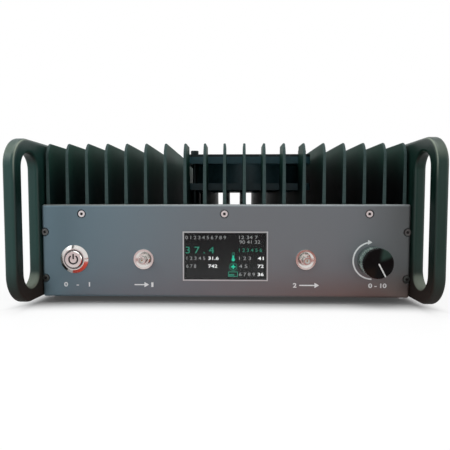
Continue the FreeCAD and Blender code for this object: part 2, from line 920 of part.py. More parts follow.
def fan_bolts():
    seat_z = fan_top_z + guard_thickness
    reach = seat_z - fan_bottom_z + post_thread_depth
    return [cap_screw(fan_bolt_radius, fan_bolt_head_radius, fan_bolt_head_height, m4_socket, reach,
                      point(x, y, seat_z), up) for x, y in fan_hole_places()]


# Power switch: bezel and threaded barrel, nut, light ring, base with its tabs, moving button

def power_switch_body():
    ring_z = -switch_well_depth
    profile = [
        (switch_well_radius, bezel_height),
        (bezel_top_radius, bezel_height),
        (bezel_radius, bezel_rim),
        (bezel_radius, 0),
        (switch_barrel_radius, 0),
        (switch_barrel_radius, -panel_thickness - switch_depth),
        (switch_base_radius + seat_gap, -panel_thickness - switch_depth),
        (switch_base_radius + seat_gap, -panel_thickness - switch_depth + switch_base_height),
        (button_stem_radius + button_gap, -panel_thickness - switch_depth + switch_base_height),
        (button_stem_radius + button_gap, ring_z),
        (switch_well_radius, ring_z),
    ]
    return turned(profile, point(power_x, front_y, control_z), forward)


def power_light_ring():
    top = bezel_height - light_ring_sink
    outer = switch_well_radius - thread_gap
    inner = outer - light_ring_wall
    profile = [(inner, top), (outer, top), (outer, top - light_ring_height), (inner, top - light_ring_height)]
    return turned(profile, point(power_x, front_y, control_z), forward)


def power_button():
    under = button_rise - button_head
    profile = [
        (0, button_rise),
        (button_radius - button_edge_radius, button_rise),
        (button_radius, button_rise - button_edge_radius),
        (button_radius, under),
        (button_stem_radius, under),
        (button_stem_radius, -switch_well_depth - button_stem_length + button_travel),
        (0, -switch_well_depth - button_stem_length + button_travel),
    ]
    return turned(profile, point(power_x, front_y, control_z), forward)


def power_switch_nut():
    start = point(power_x, panel_back_y, control_z)
    end = start + backward * switch_nut_height
    return hexagon(switch_nut_across, start, end).cut(rod(switch_barrel_radius + thread_gap, start, end))


def power_switch_base():
    """Insulating base with four solder tabs."""
    end = point(power_x, panel_back_y + switch_depth, control_z)
    start = end + forward * switch_base_height
    base = rod(switch_base_radius, start, end)
    half = switch_tab_width / 2
    tabs = []
    for i in (-1, 1):
        for j in (-1, 1):
            x = power_x + i * switch_tab_offset
            z = control_z + j * switch_tab_offset
            tabs.append(block(x - half, x + half, end.y, end.y + switch_tab_length,
                              z - switch_tab_thickness / 2, z + switch_tab_thickness / 2))
    return base.fuse(tabs)


# Coaxial connectors: bulkhead jacks with a dished washer and a nut on the front

def connector_body(x):
    at = point(x, front_y, control_z)
    tail = -panel_thickness - connector_flange_height - connector_tail
    nut_top = connector_washer_height - connector_dish_depth + connector_nut_height
    profile = [
        (connector_bore_radius, connector_reach),
        (connector_thread_radius, connector_reach),
        (connector_thread_radius, nut_top + thread_relief_width),
        (connector_thread_radius - thread_relief_depth, nut_top + thread_relief_width),
        (connector_thread_radius - thread_relief_depth, nut_top),
        (connector_thread_radius, nut_top),
        (connector_thread_radius, tail),
        (connector_bore_radius, tail),
    ]
    flange_start = point(x, panel_back_y, control_z)
    flange_end = flange_start + backward * connector_flange_height
    bore = rod(connector_bore_radius, flange_start, flange_end)
    flange = hexagon(connector_nut_across, flange_start, flange_end).cut(bore)
    return turned(profile, at, forward).fuse(flange).removeSplitter()


def connector_insulator(x):
    front = point(x, front_y - connector_reach + connector_mouth_depth, control_z)
    rear = point(x, panel_back_y + connector_flange_height + connector_tail, control_z)
    radius = connector_bore_radius - thread_gap
    return rod(radius, front, rear).cut(rod(contact_radius + thread_gap, front, rear))


def connector_contact(x):
    front = point(x, front_y - connector_reach + connector_mouth_depth, control_z)
    rear = point(x, panel_back_y + connector_flange_height + connector_tail, control_z)
    socket = rod(contact_bore_radius, front, front + backward * connector_reach / 2)
    return rod(contact_radius, front, rear).cut(socket)


def connector_washers():
    inner = connector_thread_radius + screw_play
    nut_seat = connector_washer_height - connector_dish_depth
    profile = [
        (inner, 0),
        (connector_washer_radius, 0),
        (connector_washer_radius, connector_washer_height / 2),
        (connector_washer_radius - connector_dish_depth, connector_washer_height),
        (connector_dish_radius, connector_washer_height),
        (connector_nut_across / math.sqrt(3) + seat_gap, nut_seat),
        (inner, nut_seat),
    ]
    return [turned(profile, point(x, front_y, control_z), forward) for x in (input_x, output_x)]


def connector_nuts():
    nuts = []
    for x in (input_x, output_x):
        start = point(x, front_y - connector_washer_height + connector_dish_depth, control_z)
        end = start + forward * connector_nut_height
        bore = rod(connector_thread_radius + thread_gap, start, end)
        nuts.append(hexagon(connector_nut_across, start, end).cut(bore))
    return nuts


# Display: frame in the panel's window, glass, display module, its board, spacers and screws

def window_block(grow, y0, y1):
    """Block over the display's window, grown by a border on all four sides."""
    half_width = window_width / 2 + grow
    half_height = window_height / 2 + grow
    return block(display_x - half_width, display_x + half_width, y0, y1,
                 display_z - half_height, display_z + half_height)


def display_bezel():
    front = front_y - display_frame_rise
    ledge_front = front + glass_sink + glass_thickness + thread_gap
    frame = window_block(display_frame_width, front, panel_back_y)
    return frame.cut([window_block(0, front, ledge_front), window_block(-display_ledge, front, panel_back_y)])


def display_window():
    front = front_y - display_frame_rise + glass_sink
    return window_block(-thread_gap, front, front + glass_thickness)


def display_module():
    """Screen with its raised viewing area behind the glass."""
    front = front_y - display_frame_rise + glass_sink + glass_thickness + 2 * thread_gap
    raised = window_block(-display_ledge - thread_gap, front, panel_back_y)
    backing = window_block(module_border, panel_back_y, panel_back_y + module_thickness)
    return raised.fuse(backing).removeSplitter()


def spacer_places():
    half_width = window_width / 2 + spacer_border
    half_height = window_height / 2 + spacer_border
    return [(display_x + i * half_width, display_z + j * half_height) for i in (-1, 1) for j in (-1, 1)]


def display_spacers():
    """Threaded spacers on the back of the panel."""
    spacers = []
    for x, z in spacer_places():
        start = point(x, panel_back_y, z)
        end = start + backward * module_thickness
        spacers.append(rod(spacer_radius, start, end).cut(rod(lid_screw_radius + thread_gap, start, end)))
    return spacers


def display_board():
    front = panel_back_y + module_thickness
    board = window_block(spacer_border + spacer_inset, front, front + board_thickness)
    holes = [rod(lid_screw_radius + screw_play, point(x, front, z), point(x, front + board_thickness, z))
             for x, z in spacer_places()]
    return board.cut(holes)


def small_screw(reach, seat, out):
    """Small cheese-head screw."""
    head = rod(lid_screw_head_radius, seat, seat + out * lid_screw_head_height)
    return head.fuse(rod(lid_screw_radius, seat - out * reach, seat))


def display_screws():
    seat_y = panel_back_y + module_thickness + board_thickness
    reach = module_thickness + board_thickness - seat_gap
    return [small_screw(reach, point(x, seat_y, z), backward) for x, z in spacer_places()]


# Gain control: knob with its set screw, shaft, potentiometer and nut

def gain_knob():
    at = point(gain_x, front_y, gain_z)
    profile = [
        (knob_recess_radius, knob_lift),
        (knob_radius, knob_lift),
        (knob_radius, knob_height - knob_face_chamfer),
        (knob_radius - knob_face_chamfer, knob_height),
        (0, knob_height),
        (0, knob_bore_depth),
        (pot_shaft_radius + thread_gap, knob_bore_depth),
        (pot_shaft_radius + thread_gap, knob_recess_depth),
        (knob_recess_radius, knob_recess_depth),
    ]
    knob = turned(profile, point(0, 0, 0), up)
    cuts = []
    for index in range(knob_flute_count):
        flute = knob_flute()
        flute.rotate(point(0, 0, 0), up, 360 * index / knob_flute_count)
        cuts.append(flute)
    pointer_high = knob_height - pointer_depth
    pointer = block(-pointer_width / 2, pointer_width / 2, 0, knob_radius, pointer_high, knob_height)
    pointer.rotate(point(0, 0, 0), up, -pointer_angle)
    cuts.append(pointer)
    cuts.append(rod(set_screw_radius + thread_gap, point(0, 0, set_screw_height),
                    point(-knob_radius, 0, set_screw_height)))
    return placed(knob.cut(cuts), at, forward)


def knob_flute():
    """V-shaped cutter for one flute of the grip."""
    inner = knob_radius - knob_flute_depth
    outer = knob_radius + knob_flute_depth
    outline = Part.makePolygon([
        point(inner, 0, knob_smooth_height),
        point(outer, knob_flute_half_width, knob_smooth_height),
        point(outer, -knob_flute_half_width, knob_smooth_height),
        point(inner, 0, knob_smooth_height),
    ])
    return Part.Face(outline).extrude(up * knob_height)


def knob_set_screw():
    """Grub screw that bears on the shaft from the knob's left."""
    y = front_y - set_screw_height
    tip = point(gain_x - pot_shaft_radius - thread_gap, y, gain_z)
    end = point(gain_x - knob_radius + set_screw_sink, y, gain_z)
    recess = hexagon(set_screw_socket, end + rightward * set_screw_socket, end)
    return rod(set_screw_radius, tip, end).cut(recess)


def potentiometer_shaft():
    start = point(gain_x, panel_back_y + seat_gap, gain_z)
    end = point(gain_x, front_y - knob_bore_depth + seat_gap, gain_z)
    return rod(pot_shaft_radius, start, end)


def potentiometer_body():
    at = point(gain_x, panel_back_y, gain_z)
    bore = pot_shaft_radius + running_gap
    profile = [
        (bore, panel_thickness + pot_bushing_reach - seat_gap),
        (pot_bushing_radius, panel_thickness + pot_bushing_reach - seat_gap),
        (pot_bushing_radius, 0),
        (pot_body_radius, 0),
        (pot_body_radius, -pot_body_depth),
        (0, -pot_body_depth),
        (0, -2 * seat_gap),
        (bore, -2 * seat_gap),
    ]
    return turned(profile, at, forward)


def potentiometer_nut():
    start = point(gain_x, front_y, gain_z)
    end = start + forward * pot_nut_height
    return hexagon(pot_nut_across, start, end).cut(rod(pot_bushing_radius + thread_gap, start, end))


# Mains inlet and earth stud on the rear panel

def inlet_block(width, height, y0, y1):
    """Block with the two upper corners cut off, as the inlet's socket has."""
    half = width / 2
    low = inlet_z - height / 2
    high = inlet_z + height / 2
    outline = Part.makePolygon([
        point(inlet_x - half, y0, low),
        point(inlet_x + half, y0, low),
        point(inlet_x + half, y0, high - inlet_corner),
        point(inlet_x + half - inlet_corner, y0, high),
        point(inlet_x - half + inlet_corner, y0, high),
        point(inlet_x - half, y0, high - inlet_corner),
        point(inlet_x - half, y0, low),
    ])
    return Part.Face(outline).extrude(backward * (y1 - y0))


def mains_inlet():
    flange_y = rear_outer_y + inlet_flange_thickness
    flange = block(inlet_x - inlet_flange_width / 2, inlet_x + inlet_flange_width / 2, rear_outer_y, flange_y,
                   inlet_z - inlet_flange_height / 2, inlet_z + inlet_flange_height / 2)
    shell_front = rear_outer_y - inlet_body_depth
    shell = inlet_block(inlet_body_width, inlet_body_height, shell_front, flange_y)
    cavity = inlet_block(inlet_body_width - 2 * inlet_wall, inlet_body_height - 2 * inlet_wall,
                         shell_front + inlet_floor, flange_y)
    holes = [rod(m3_radius + screw_play, point(x, rear_outer_y, inlet_z), point(x, flange_y, inlet_z))
             for x in inlet_screw_xs]
    return flange.fuse(shell).cut([cavity] + holes).removeSplitter()


def mains_inlet_pins():
    floor = rear_outer_y - inlet_body_depth + inlet_floor
    pins = []
    for x, z in ((-pin_spacing, -pin_offset), (0, pin_offset), (pin_spacing, -pin_offset)):
        pins.append(block(inlet_x + x - pin_width / 2, inlet_x + x + pin_width / 2, floor, floor + pin_length,
                          inlet_z + z - pin_height / 2, inlet_z + z + pin_height / 2))
    return pins


def inlet_screws():
    seat_y = rear_outer_y + inlet_flange_thickness
    reach = inlet_flange_thickness + rear_thickness + cover_thickness
    return [m3_screw(reach, point(x, seat_y, inlet_z), backward) for x in inlet_screw_xs]


def earth_stud():
    """Stud through the rear panel with its collar inside."""
    profile = [
        (0, stud_free_length),
        (stud_radius, stud_free_length),
        (stud_radius, stud_nut_height + thread_relief_width),
        (stud_radius - thread_relief_depth, stud_nut_height + thread_relief_width),
        (stud_radius - thread_relief_depth, stud_nut_height),
        (stud_radius, stud_nut_height),
        (stud_radius, -rear_thickness),
        (stud_collar_radius, -rear_thickness),
        (stud_collar_radius, -rear_thickness - stud_collar_height),
        (0, -rear_thickness - stud_collar_height),
    ]
    return turned(profile, point(stud_x, rear_outer_y, inlet_z), backward)


def earth_nut():
    start = point(stud_x, rear_outer_y, inlet_z)
    end = start + backward * stud_nut_height
    return hexagon(stud_nut_across, start, end).cut(rod(stud_radius + thread_gap, start, end))


# RF module: milled housing against the heat sink base, lid below, jacks on its front wall

def module_screw_places():
    reach_x = module_length / 2 + module_flange - module_screw_inset
    reach_y = module_width / 2 - 2 * module_screw_inset
    return [(module_mid_x + i * reach_x, module_mid_y + j * reach_y) for i in (-1, 1) for j in (-1, 1)]


def lid_screw_places():
    reach_x = module_length / 2 - lid_screw_inset
    reach_y = module_width / 2 - lid_screw_inset
    return [(module_mid_x + i * reach_x, module_mid_y + j * reach_y) for i in (-1, 1) for j in (-1, 1)]


def module_block(half_length, half_width, low, high):
    """Box centred on the module."""
    return block(module_mid_x - half_length, module_mid_x + half_length,
                 module_mid_y - half_width, module_mid_y + half_width, low, high)


def rf_module_housing():
    half_length = module_length / 2
    half_width = module_width / 2
    flange_low_z = base_bottom_z - module_flange_thickness
    body = module_block(half_length, half_width, module_lid_z, base_bottom_z)
    flange = module_block(half_length + module_flange, half_width, flange_low_z, base_bottom_z)
    cavity = module_block(half_length - module_wall, half_width - module_wall, module_lid_z, flange_low_z)
    cuts = [cavity]
    for x, y in module_screw_places():
        cuts.append(rod(m3_radius + screw_play, point(x, y, flange_low_z), point(x, y, base_bottom_z)))
    for x, y in lid_screw_places():
        low = point(x, y, module_lid_z)
        cuts.append(rod(lid_screw_radius + thread_gap, low, low + up * (lid_screw_reach + seat_gap)))
    return body.fuse(flange).cut(cuts).fuse(module_jacks()).removeSplitter()


def rf_module_lid():
    lid = module_block(module_length / 2, module_width / 2, module_lid_z - module_lid_thickness, module_lid_z)
    holes = [rod(lid_screw_radius + screw_play, point(x, y, module_lid_z - module_lid_thickness),
                 point(x, y, module_lid_z)) for x, y in lid_screw_places()]
    return lid.cut(holes)


def lid_screws():
    seat_z = module_lid_z - module_lid_thickness
    reach = module_lid_thickness + lid_screw_reach
    return [small_screw(reach, point(x, y, seat_z), down) for x, y in lid_screw_places()]


def module_screws():
    seat_z = base_bottom_z - module_flange_thickness
    reach = module_flange_thickness + cover_screw_reach
    return [m3_screw(reach, point(x, y, seat_z), down) for x, y in module_screw_places()]


def rf_circuit():
    """Ceramic board with its row of power devices, on the floor of the housing."""
    top = base_bottom_z - module_flange_thickness
    half_length = module_length / 2 - module_wall - circuit_gap
    half_width = module_width / 2 - module_wall - circuit_gap
    board = module_block(half_length, half_width, top - circuit_thickness, top)
    devices = []
    for share in (-device_spread, 0, device_spread):
        x = module_mid_x + share * half_length
        for y in (module_mid_y - half_width / 2, module_mid_y + half_width / 2):
            devices.append(block(x - device_width / 2, x + device_width / 2, y - device_length / 2,
                                 y + device_length / 2, top - circuit_thickness - device_height,
                                 top - circuit_thickness))
    return board.fuse(devices).removeSplitter()


def module_jacks():
    """Glass-sealed jacks soldered through the front wall of the housing."""
    jacks = []
    for x in (module_input_x, output_x):
        inside = point(x, module_front_y + module_wall, module_jack_z)
        outside = inside + forward * (module_wall + module_jack_length)
        jacks.append(rod(module_jack_radius, inside, outside))
    return jacks


# Semi-rigid coax: straight runs joined by tangent arcs, from the panel jacks to the module

def coax_route(panel_x, module_x):
    start_y = panel_back_y + connector_flange_height + connector_tail
    end_y = module_front_y - module_jack_length
    return [
        point(panel_x, start_y, control_z),
        point(panel_x, start_y + coax_run, control_z),
        point(module_x, end_y - coax_end_run, module_jack_z),
        point(module_x, end_y, module_jack_z),
    ]


def bent_rod(radius, bend_radius, route):
    """Round bar along straight runs, with an arc of one radius at each inner point."""
    edges = []
    last = route[0]
    for index in range(1, len(route) - 1):
        corner = route[index]
        back = (route[index - 1] - corner).normalize()
        ahead = (route[index + 1] - corner).normalize()
        half_angle = back.getAngle(ahead) / 2
        reach = bend_radius / math.tan(half_angle)
        inset = bend_radius / math.sin(half_angle) - bend_radius
        middle = corner + (back + ahead).normalize() * inset
        edges.append(Part.LineSegment(last, corner + back * reach).toShape())
        edges.append(Part.Arc(corner + back * reach, middle, corner + ahead * reach).toShape())
        last = corner + ahead * reach
    edges.append(Part.LineSegment(last, route[-1]).toShape())
    section = Part.Wire(Part.Circle(route[0], route[1] - route[0], radius).toShape())
    return Part.Wire(edges).makePipeShell([section], True, False)


def coax_nuts():
    nuts = []
    for panel_x, module_x in ((input_x, module_input_x), (output_x, output_x)):
        route = coax_route(panel_x, module_x)
        for end, towards in ((route[0], backward), (route[-1], forward)):
            far = end + towards * coax_nut_length
            bore = rod(coax_radius + thread_gap, end, far)
            nuts.append(hexagon(connector_nut_across, end, far).cut(bore))
    return nuts


# Power supply: closed case with an open bay for its terminal strip

def power_supply_case():
    right = supply_left + supply_length
    case = block(supply_left, right, supply_front_y, supply_rear_y, cover_top_z, cover_top_z + supply_height)
    bay = block(right - terminal_depth, right, supply_front_y + supply_wall, supply_rear_y - supply_wall,
                cover_top_z + supply_wall, cover_top_z + supply_height)
    holes = []
    for x, y in supply_screw_places():
        start = point(x, y, cover_top_z)
        holes.append(rod(m3_radius + thread_gap, start, start + up * (cover_screw_reach + seat_gap)))
    return case.cut([bay] + holes)


def terminal_block():
    right = supply_left + supply_length
    middle = (supply_front_y + supply_rear_y) / 2
    half = terminal_count * terminal_pitch / 2
    low = cover_top_z + supply_wall
    strip = block(right - terminal_depth, right - seat_gap, middle - half, middle + half,
                  low, low + terminal_height)
    slots = []
    for index in range(terminal_count):
        y = middle - half + (index + 0.5) * terminal_pitch
        slots.append(block(right - terminal_depth + 2 * supply_wall, right, y - terminal_slot / 2,
                           y + terminal_slot / 2, low + terminal_height - terminal_slot_depth,
                           low + terminal_height))
    return strip.cut(slots)


def supply_screws():
    reach = cover_thickness + cover_screw_reach
    return [low_screw(reach, x, y, cover_bottom_z) for x, y in supply_screw_places()]


# Control board on standoffs, with its connectors, relays and chokes

def standoff_places():
    reach_x = control_board_length / 2 - standoff_inset
    reach_y = control_board_width / 2 - standoff_inset
    return [(control_board_x + i * reach_x, control_board_y + j * reach_y) for i in (-1, 1) for j in (-1, 1)]


def control_board():
    half_length = control_board_length / 2
    half_width = control_board_width / 2
    low = cover_top_z + standoff_height
    board = block(control_board_x - half_length, control_board_x + half_length, control_board_y - half_width,
                  control_board_y + half_width, low, low + board_thickness)
    holes = [rod(lid_screw_radius + screw_play, point(x, y, low), point(x, y, low + board_thickness))
             for x, y in standoff_places()]
    return board.cut(holes)


def board_standoffs():
    """Hexagonal standoffs with a threaded stud through the bottom cover."""
    standoffs = []
    for x, y in standoff_places():
        low = point(x, y, cover_top_z)
        high = low + up * standoff_height
        hole = rod(lid_screw_radius + thread_gap, low + up * standoff_height / 2, high)
        stud = rod(m3_radius, low + down * cover_thickness, low)
        standoffs.append(hexagon(2 * standoff_radius, low, high).cut(hole).fuse(stud))
    return standoffs


def board_screws():
    seat_z = cover_top_z + standoff_height + board_thickness
    reach = board_thickness + standoff_height / 2 - seat_gap
    return [small_screw(reach, point(x, y, seat_z), up) for x, y in standoff_places()]


def board_parts():
    """Edge sockets along the back, two chokes and the fins of a small cooler."""
    low = cover_top_z + standoff_height + board_thickness
    socket_back = control_board_y + control_board_width / 2 - socket_edge_gap
    socket_front = socket_back - socket_depth
    parts = []
    for offset, width in zip(socket_offsets, socket_widths):
        left = control_board_x + offset - width / 2
        shell = block(left, left + width, socket_front, socket_back, low, low + socket_height)
        mouth = block(left + socket_wall, left + width - socket_wall, socket_front + socket_wall,
                      socket_back - socket_wall, low + 2 * socket_wall, low + socket_height)
        parts.append(shell.cut(mouth))
    ring = [
        (choke_inner_radius, 0),
        (choke_outer_radius, 0),
        (choke_outer_radius, choke_height),
        (choke_inner_radius, choke_height),
    ]
    for offset in choke_offsets:
        parts.append(turned(ring, point(control_board_x + offset, control_board_y, low), up))
    half = cooler_fin_length / 2
    for index in range(cooler_fin_count):
        x = control_board_x + cooler_offset + index * cooler_fin_pitch
        parts.append(block(x, x + cooler_fin_thickness, control_board_y - half, control_board_y + half,
                           low, low + cooler_height))
    return parts


os.makedirs("parts", exist_ok=True)
right_plate = side_plate()
save("right_side_plate", [right_plate])
save("left_side_plate", [mirrored(right_plate)])
save("side_screws", side_screws())
save("front_panel", [front_panel()])
save("panel_screws", panel_screws())
save("rear_panel", [rear_panel()])
save("rear_screws", rear_screws() + inlet_screws())
save("corner_bars", corner_bars())
save("bottom_cover", [bottom_cover()])
save("cover_screws", cover_screws() + supply_screws())
save("feet", feet())
save("foot_screws", foot_screws())
save("heat_sink", [heat_sink()])
save("fan_frame", [fan_frame()])
save("fan_rotor", [fan_rotor()])
save("fan_shaft", [fan_shaft()])
save("fan_bearings", fan_bearings())
save("fan_stator", [fan_stator()])
save("fan_guard", [fan_guard()])
save("fan_posts", fan_posts())
save("fan_bolts", fan_bolts())
save("power_switch_body", [power_switch_body()])
save("power_light_ring", [power_light_ring()])
save("power_button", [power_button()])
save("power_switch_nut", [power_switch_nut()])
save("power_switch_base", [power_switch_base()])
save("input_connector", [connector_body(input_x)])
save("output_connector", [connector_body(output_x)])
save("connector_insulators", [connector_insulator(input_x), connector_insulator(output_x)])
save("connector_contacts", [connector_contact(input_x), connector_contact(output_x)])
save("connector_washers", connector_washers())
save("connector_nuts", connector_nuts())
save("display_bezel", [display_bezel()])
save("display_window", [display_window()])
save("display_module", [display_module()])
save("display_board", [display_board()])
save("display_spacers", display_spacers())
save("gain_knob", [gain_knob()])
save("knob_set_screw", [knob_set_screw()])
save("potentiometer_shaft", [potentiometer_shaft()])
save("potentiometer_body", [potentiometer_body()])
save("potentiometer_nut", [potentiometer_nut()])
save("mains_inlet", [mains_inlet()])
save("mains_inlet_pins", mains_inlet_pins())
save("earth_stud", [earth_stud()])
save("earth_nut", [earth_nut()])
save("rf_module_housing", [rf_module_housing()])
save("rf_module_lid", [rf_module_lid()])
save("lid_screws", lid_screws())
save("module_screws", module_screws())
save("rf_circuit", [rf_circuit()])
save("input_coax", [bent_rod(coax_radius, coax_bend_radius, coax_route(input_x, module_input_x))])
save("output_coax", [bent_rod(coax_radius, coax_bend_radius, coax_route(output_x, output_x))])
save("coax_nuts", coax_nuts())
save("power_supply_case", [power_supply_case()])
save("terminal_block", [terminal_block()])
save("control_board", [control_board()])
save("board_standoffs", board_standoffs())
save("board_screws", board_screws() + display_screws())
save("board_parts", board_parts())
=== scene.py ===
import math

import bpy
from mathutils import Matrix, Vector


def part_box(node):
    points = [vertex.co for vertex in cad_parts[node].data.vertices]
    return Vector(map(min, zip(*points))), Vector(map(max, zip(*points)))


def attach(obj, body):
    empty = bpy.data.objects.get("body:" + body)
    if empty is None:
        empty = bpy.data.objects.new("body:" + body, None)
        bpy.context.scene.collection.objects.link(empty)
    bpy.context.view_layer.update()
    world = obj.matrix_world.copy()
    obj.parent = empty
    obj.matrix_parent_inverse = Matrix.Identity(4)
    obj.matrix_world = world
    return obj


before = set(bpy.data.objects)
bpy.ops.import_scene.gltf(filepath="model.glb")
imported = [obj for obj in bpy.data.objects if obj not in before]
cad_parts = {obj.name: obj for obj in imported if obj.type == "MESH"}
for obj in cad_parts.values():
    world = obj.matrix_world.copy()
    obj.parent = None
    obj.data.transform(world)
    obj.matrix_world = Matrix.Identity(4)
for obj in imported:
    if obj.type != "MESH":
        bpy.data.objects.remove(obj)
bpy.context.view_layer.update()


# Side plates. Each is one 10 mm aluminium plate with its carrying handle cut from it, rounded
# over along every edge and powder coated dark green, duller at the bottom. The colour carries
# painted light: the right plate and the loops' flanks and undersides are painted darker as painted
# shade, the bottom is painted red-brown as a painted warm reflection, and painted highlights lie
# on the loops' top corners and the bottoms of their slots. Hands have rubbed the loops smoother.

class Value:
    """What comes out of a shader node, open to Python's own operators."""

    def __init__(self, paint, socket):
        self.paint = paint
        self.socket = socket

    def __add__(self, other):
        return self.paint.math("ADD", self, other)

    def __sub__(self, other):
        return self.paint.math("SUBTRACT", self, other)

    def __rsub__(self, other):
        return self.paint.math("SUBTRACT", other, self)

    def __mul__(self, other):
        return self.paint.math("MULTIPLY", self, other)

    def __lt__(self, other):
        return self.paint.math("LESS_THAN", self, other)

    def __gt__(self, other):
        return self.paint.math("GREATER_THAN", self, other)

    def __abs__(self):
        return self.paint.math("ABSOLUTE", self, 0.0)

    __radd__ = __add__
    __rmul__ = __mul__

    def rise(self, start, end):
        """0 at start, 1 at end, with a soft step between."""
        sockets = {"Value": self, "From Min": start, "From Max": end}
        return self.paint.node("MapRange", {"interpolation_type": "SMOOTHSTEP"}, sockets)


class Paint:
    """The shader nodes of one finish of the amplifier."""

    def __init__(self, name):
        self.material = bpy.data.materials.new(name)
        self.material.use_nodes = True
        self.tree = self.material.node_tree
        self.tree.nodes.clear()
        self.point = self.node("TexCoord", output="Object")

    def node(self, kind, settings=None, sockets=None, output=0):
        """Adds a node, makes its settings, then gives its sockets their values or links."""
        made = self.tree.nodes.new("ShaderNode" + kind)
        for name, setting in (settings or {}).items():
            setattr(made, name, setting)
        for name, value in (sockets or {}).items():
            if isinstance(value, Value):
                self.tree.links.new(value.socket, made.inputs[name])
            else:
                made.inputs[name].default_value = value
        return Value(self, made.outputs[output])

    def math(self, operation, first, second):
        return self.node("Math", {"operation": operation}, {0: first, 1: second})

    def axes(self, vector, wanted="xyz"):
        """The x, y and z of a vector, or those of them that are wanted."""
        return [self.node("SeparateXYZ", None, {0: vector}, "xyz".index(axis)) for axis in wanted]

    def facing(self, wanted="xyz"):
        """Where the surface faces, along the axes that are wanted."""
        return self.axes(self.node("TexCoord", output="Normal"), wanted)

    def noise(self, scale, stretch=(1.0, 1.0, 1.0), detail=3.0):
        """Noise of so many grains to the metre, drawn out where stretch is small."""
        vector = self.node("VectorMath", {"operation": "MULTIPLY"}, {0: self.point, 1: stretch})
        return self.node("TexNoise", None, {"Vector": vector, "Scale": scale, "Detail": detail})

    def mix(self, share, first, second):
        return self.node("Mix", {"data_type": "RGBA"}, {0: share, 6: first, 7: second}, output=2)

    def bump(self, height, distance):
        return self.node("Bump", None, {"Height": height, "Distance": distance})

    def cover(self, sockets):
        """Joins the finish to the surface."""
        shader = self.node("BsdfPrincipled", None, sockets)
        surface = self.tree.nodes.new("ShaderNodeOutputMaterial").inputs["Surface"]
        self.tree.links.new(shader.socket, surface)


def tone(red, green, blue):
    """A colour as it is seen on a screen, 0 to 255, made linear for the shader."""
    shares = [part / 255 for part in (red, green, blue)]
    return [s / 12.92 if s < 0.04 else ((s + 0.055) / 1.055) ** 2.4 for s in shares] + [1.0]


def dress(paint, *names):
    """Gives pieces of the frame their finish."""
    for name in names:
        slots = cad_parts[name].data.materials
        slots.clear()
        slots.append(paint.material)


mm = 0.001
green_coat = Paint("green_powder_coat")
grain = green_coat.noise(1500.0)
patches = green_coat.noise(11.0)
plate_middle = (-50 * mm, 50 * mm)
loop_grip = (-150 * mm, -126 * mm)
loop_root = (-120 * mm, -100 * mm)
loop_crown = (104 * mm, 128 * mm)
plate_bottom = (4 * mm, 50 * mm)
slot_bottom = (20 * mm, 38 * mm)
edge_facing = 0.72
x, y, z = green_coat.axes(green_coat.point)
nx, nz = green_coat.facing("xz")
# Patches that hands have rubbed smoother; they also carry the painted highlights below.
rubbed_and_highlit = (1 - y.rise(*loop_grip)) * patches.rise(0.35, 0.65)
# Painted shade: the right plate is painted darker than the left.
shaded_right_side = x.rise(*plate_middle)
# Towards the bottom the coat is painted red-brown, a painted warm reflection; it is also duller there.
lowest = 1 - z.rise(*plate_bottom)
at_loop = 1 - y.rise(*loop_root)
loop_top = z.rise(*loop_crown)
# Painted shade on the loops: their flanks and the faces turned downwards are painted darker.
flank = abs(nx).rise(0.5, 0.95) * at_loop * (1 - 0.6 * loop_top)
underside = (0.0 - nz).rise(0.2, 0.8) * at_loop * (1 - lowest)
# Painted highlights: lighter bands on the loops' top edges and corners, and in the bottoms of their
# slots.
past_edge = abs(nx) - edge_facing
on_edge = past_edge.rise(-0.3, 0.0) * (1 - past_edge.rise(0.0, 0.2))
on_corner = nz.rise(0.1, 0.5) * (1 - nz.rise(0.6, 0.95)) * (1 - flank)
in_slot_bottom = (1 - z.rise(*slot_bottom)) * nz.rise(0.1, 0.5) * at_loop
wear_and_highlight = (on_edge + 0.5 * on_corner) * loop_top * rubbed_and_highlit + 0.7 * in_slot_bottom
coat = green_coat.mix(
    shaded_right_side,
    green_coat.mix(patches, tone(26, 56, 52), tone(34, 66, 61)),
    green_coat.mix(patches, tone(14, 40, 34), tone(21, 49, 42)),
)
coat = green_coat.mix(0.8 * flank, coat, tone(5, 20, 16))
coat = green_coat.mix(0.75 * underside, coat, tone(12, 16, 14))
coat = green_coat.mix(0.9 * lowest, coat, tone(26, 12, 5))
green_coat.cover({
    "Base Color": green_coat.mix(0.5 * wear_and_highlight, coat, tone(158, 168, 152)),
    "Roughness": 0.36 + 0.10 * grain - 0.10 * rubbed_and_highlit + 0.5 * lowest,
    "Specular IOR Level": 0.28,
    "Normal": green_coat.bump(grain, 0.03 * mm),
})
dress(green_coat, "right_side_plate", "left_side_plate")


# Heat sink. One black anodised aluminium extrusion: die lines run along its fins and its base,
# the fins are painted lighter and greener towards their tops as painted light, the fins right of the
# fan are painted nearly black as painted shade, and the sawn ends at front and rear are lighter.

sink_black = Paint("black_anodised_extrusion")
[ny] = sink_black.facing("y")
drawn = sink_black.noise(2600.0, stretch=(1.0, 0.012, 1.0))
sawn = sink_black.noise(1500.0, stretch=(0.06, 1.0, 1.0))
dust = sink_black.noise(45.0, detail=5.0)
fin_heights = (100 * mm, 142 * mm)
right_of_fan = (40 * mm, 90 * mm)
x, z = sink_black.axes(sink_black.point, "xz")
# Painted light: the fins are painted lighter and greener towards their tops, where light falls between
# them.
fin_top = z.rise(*fin_heights)
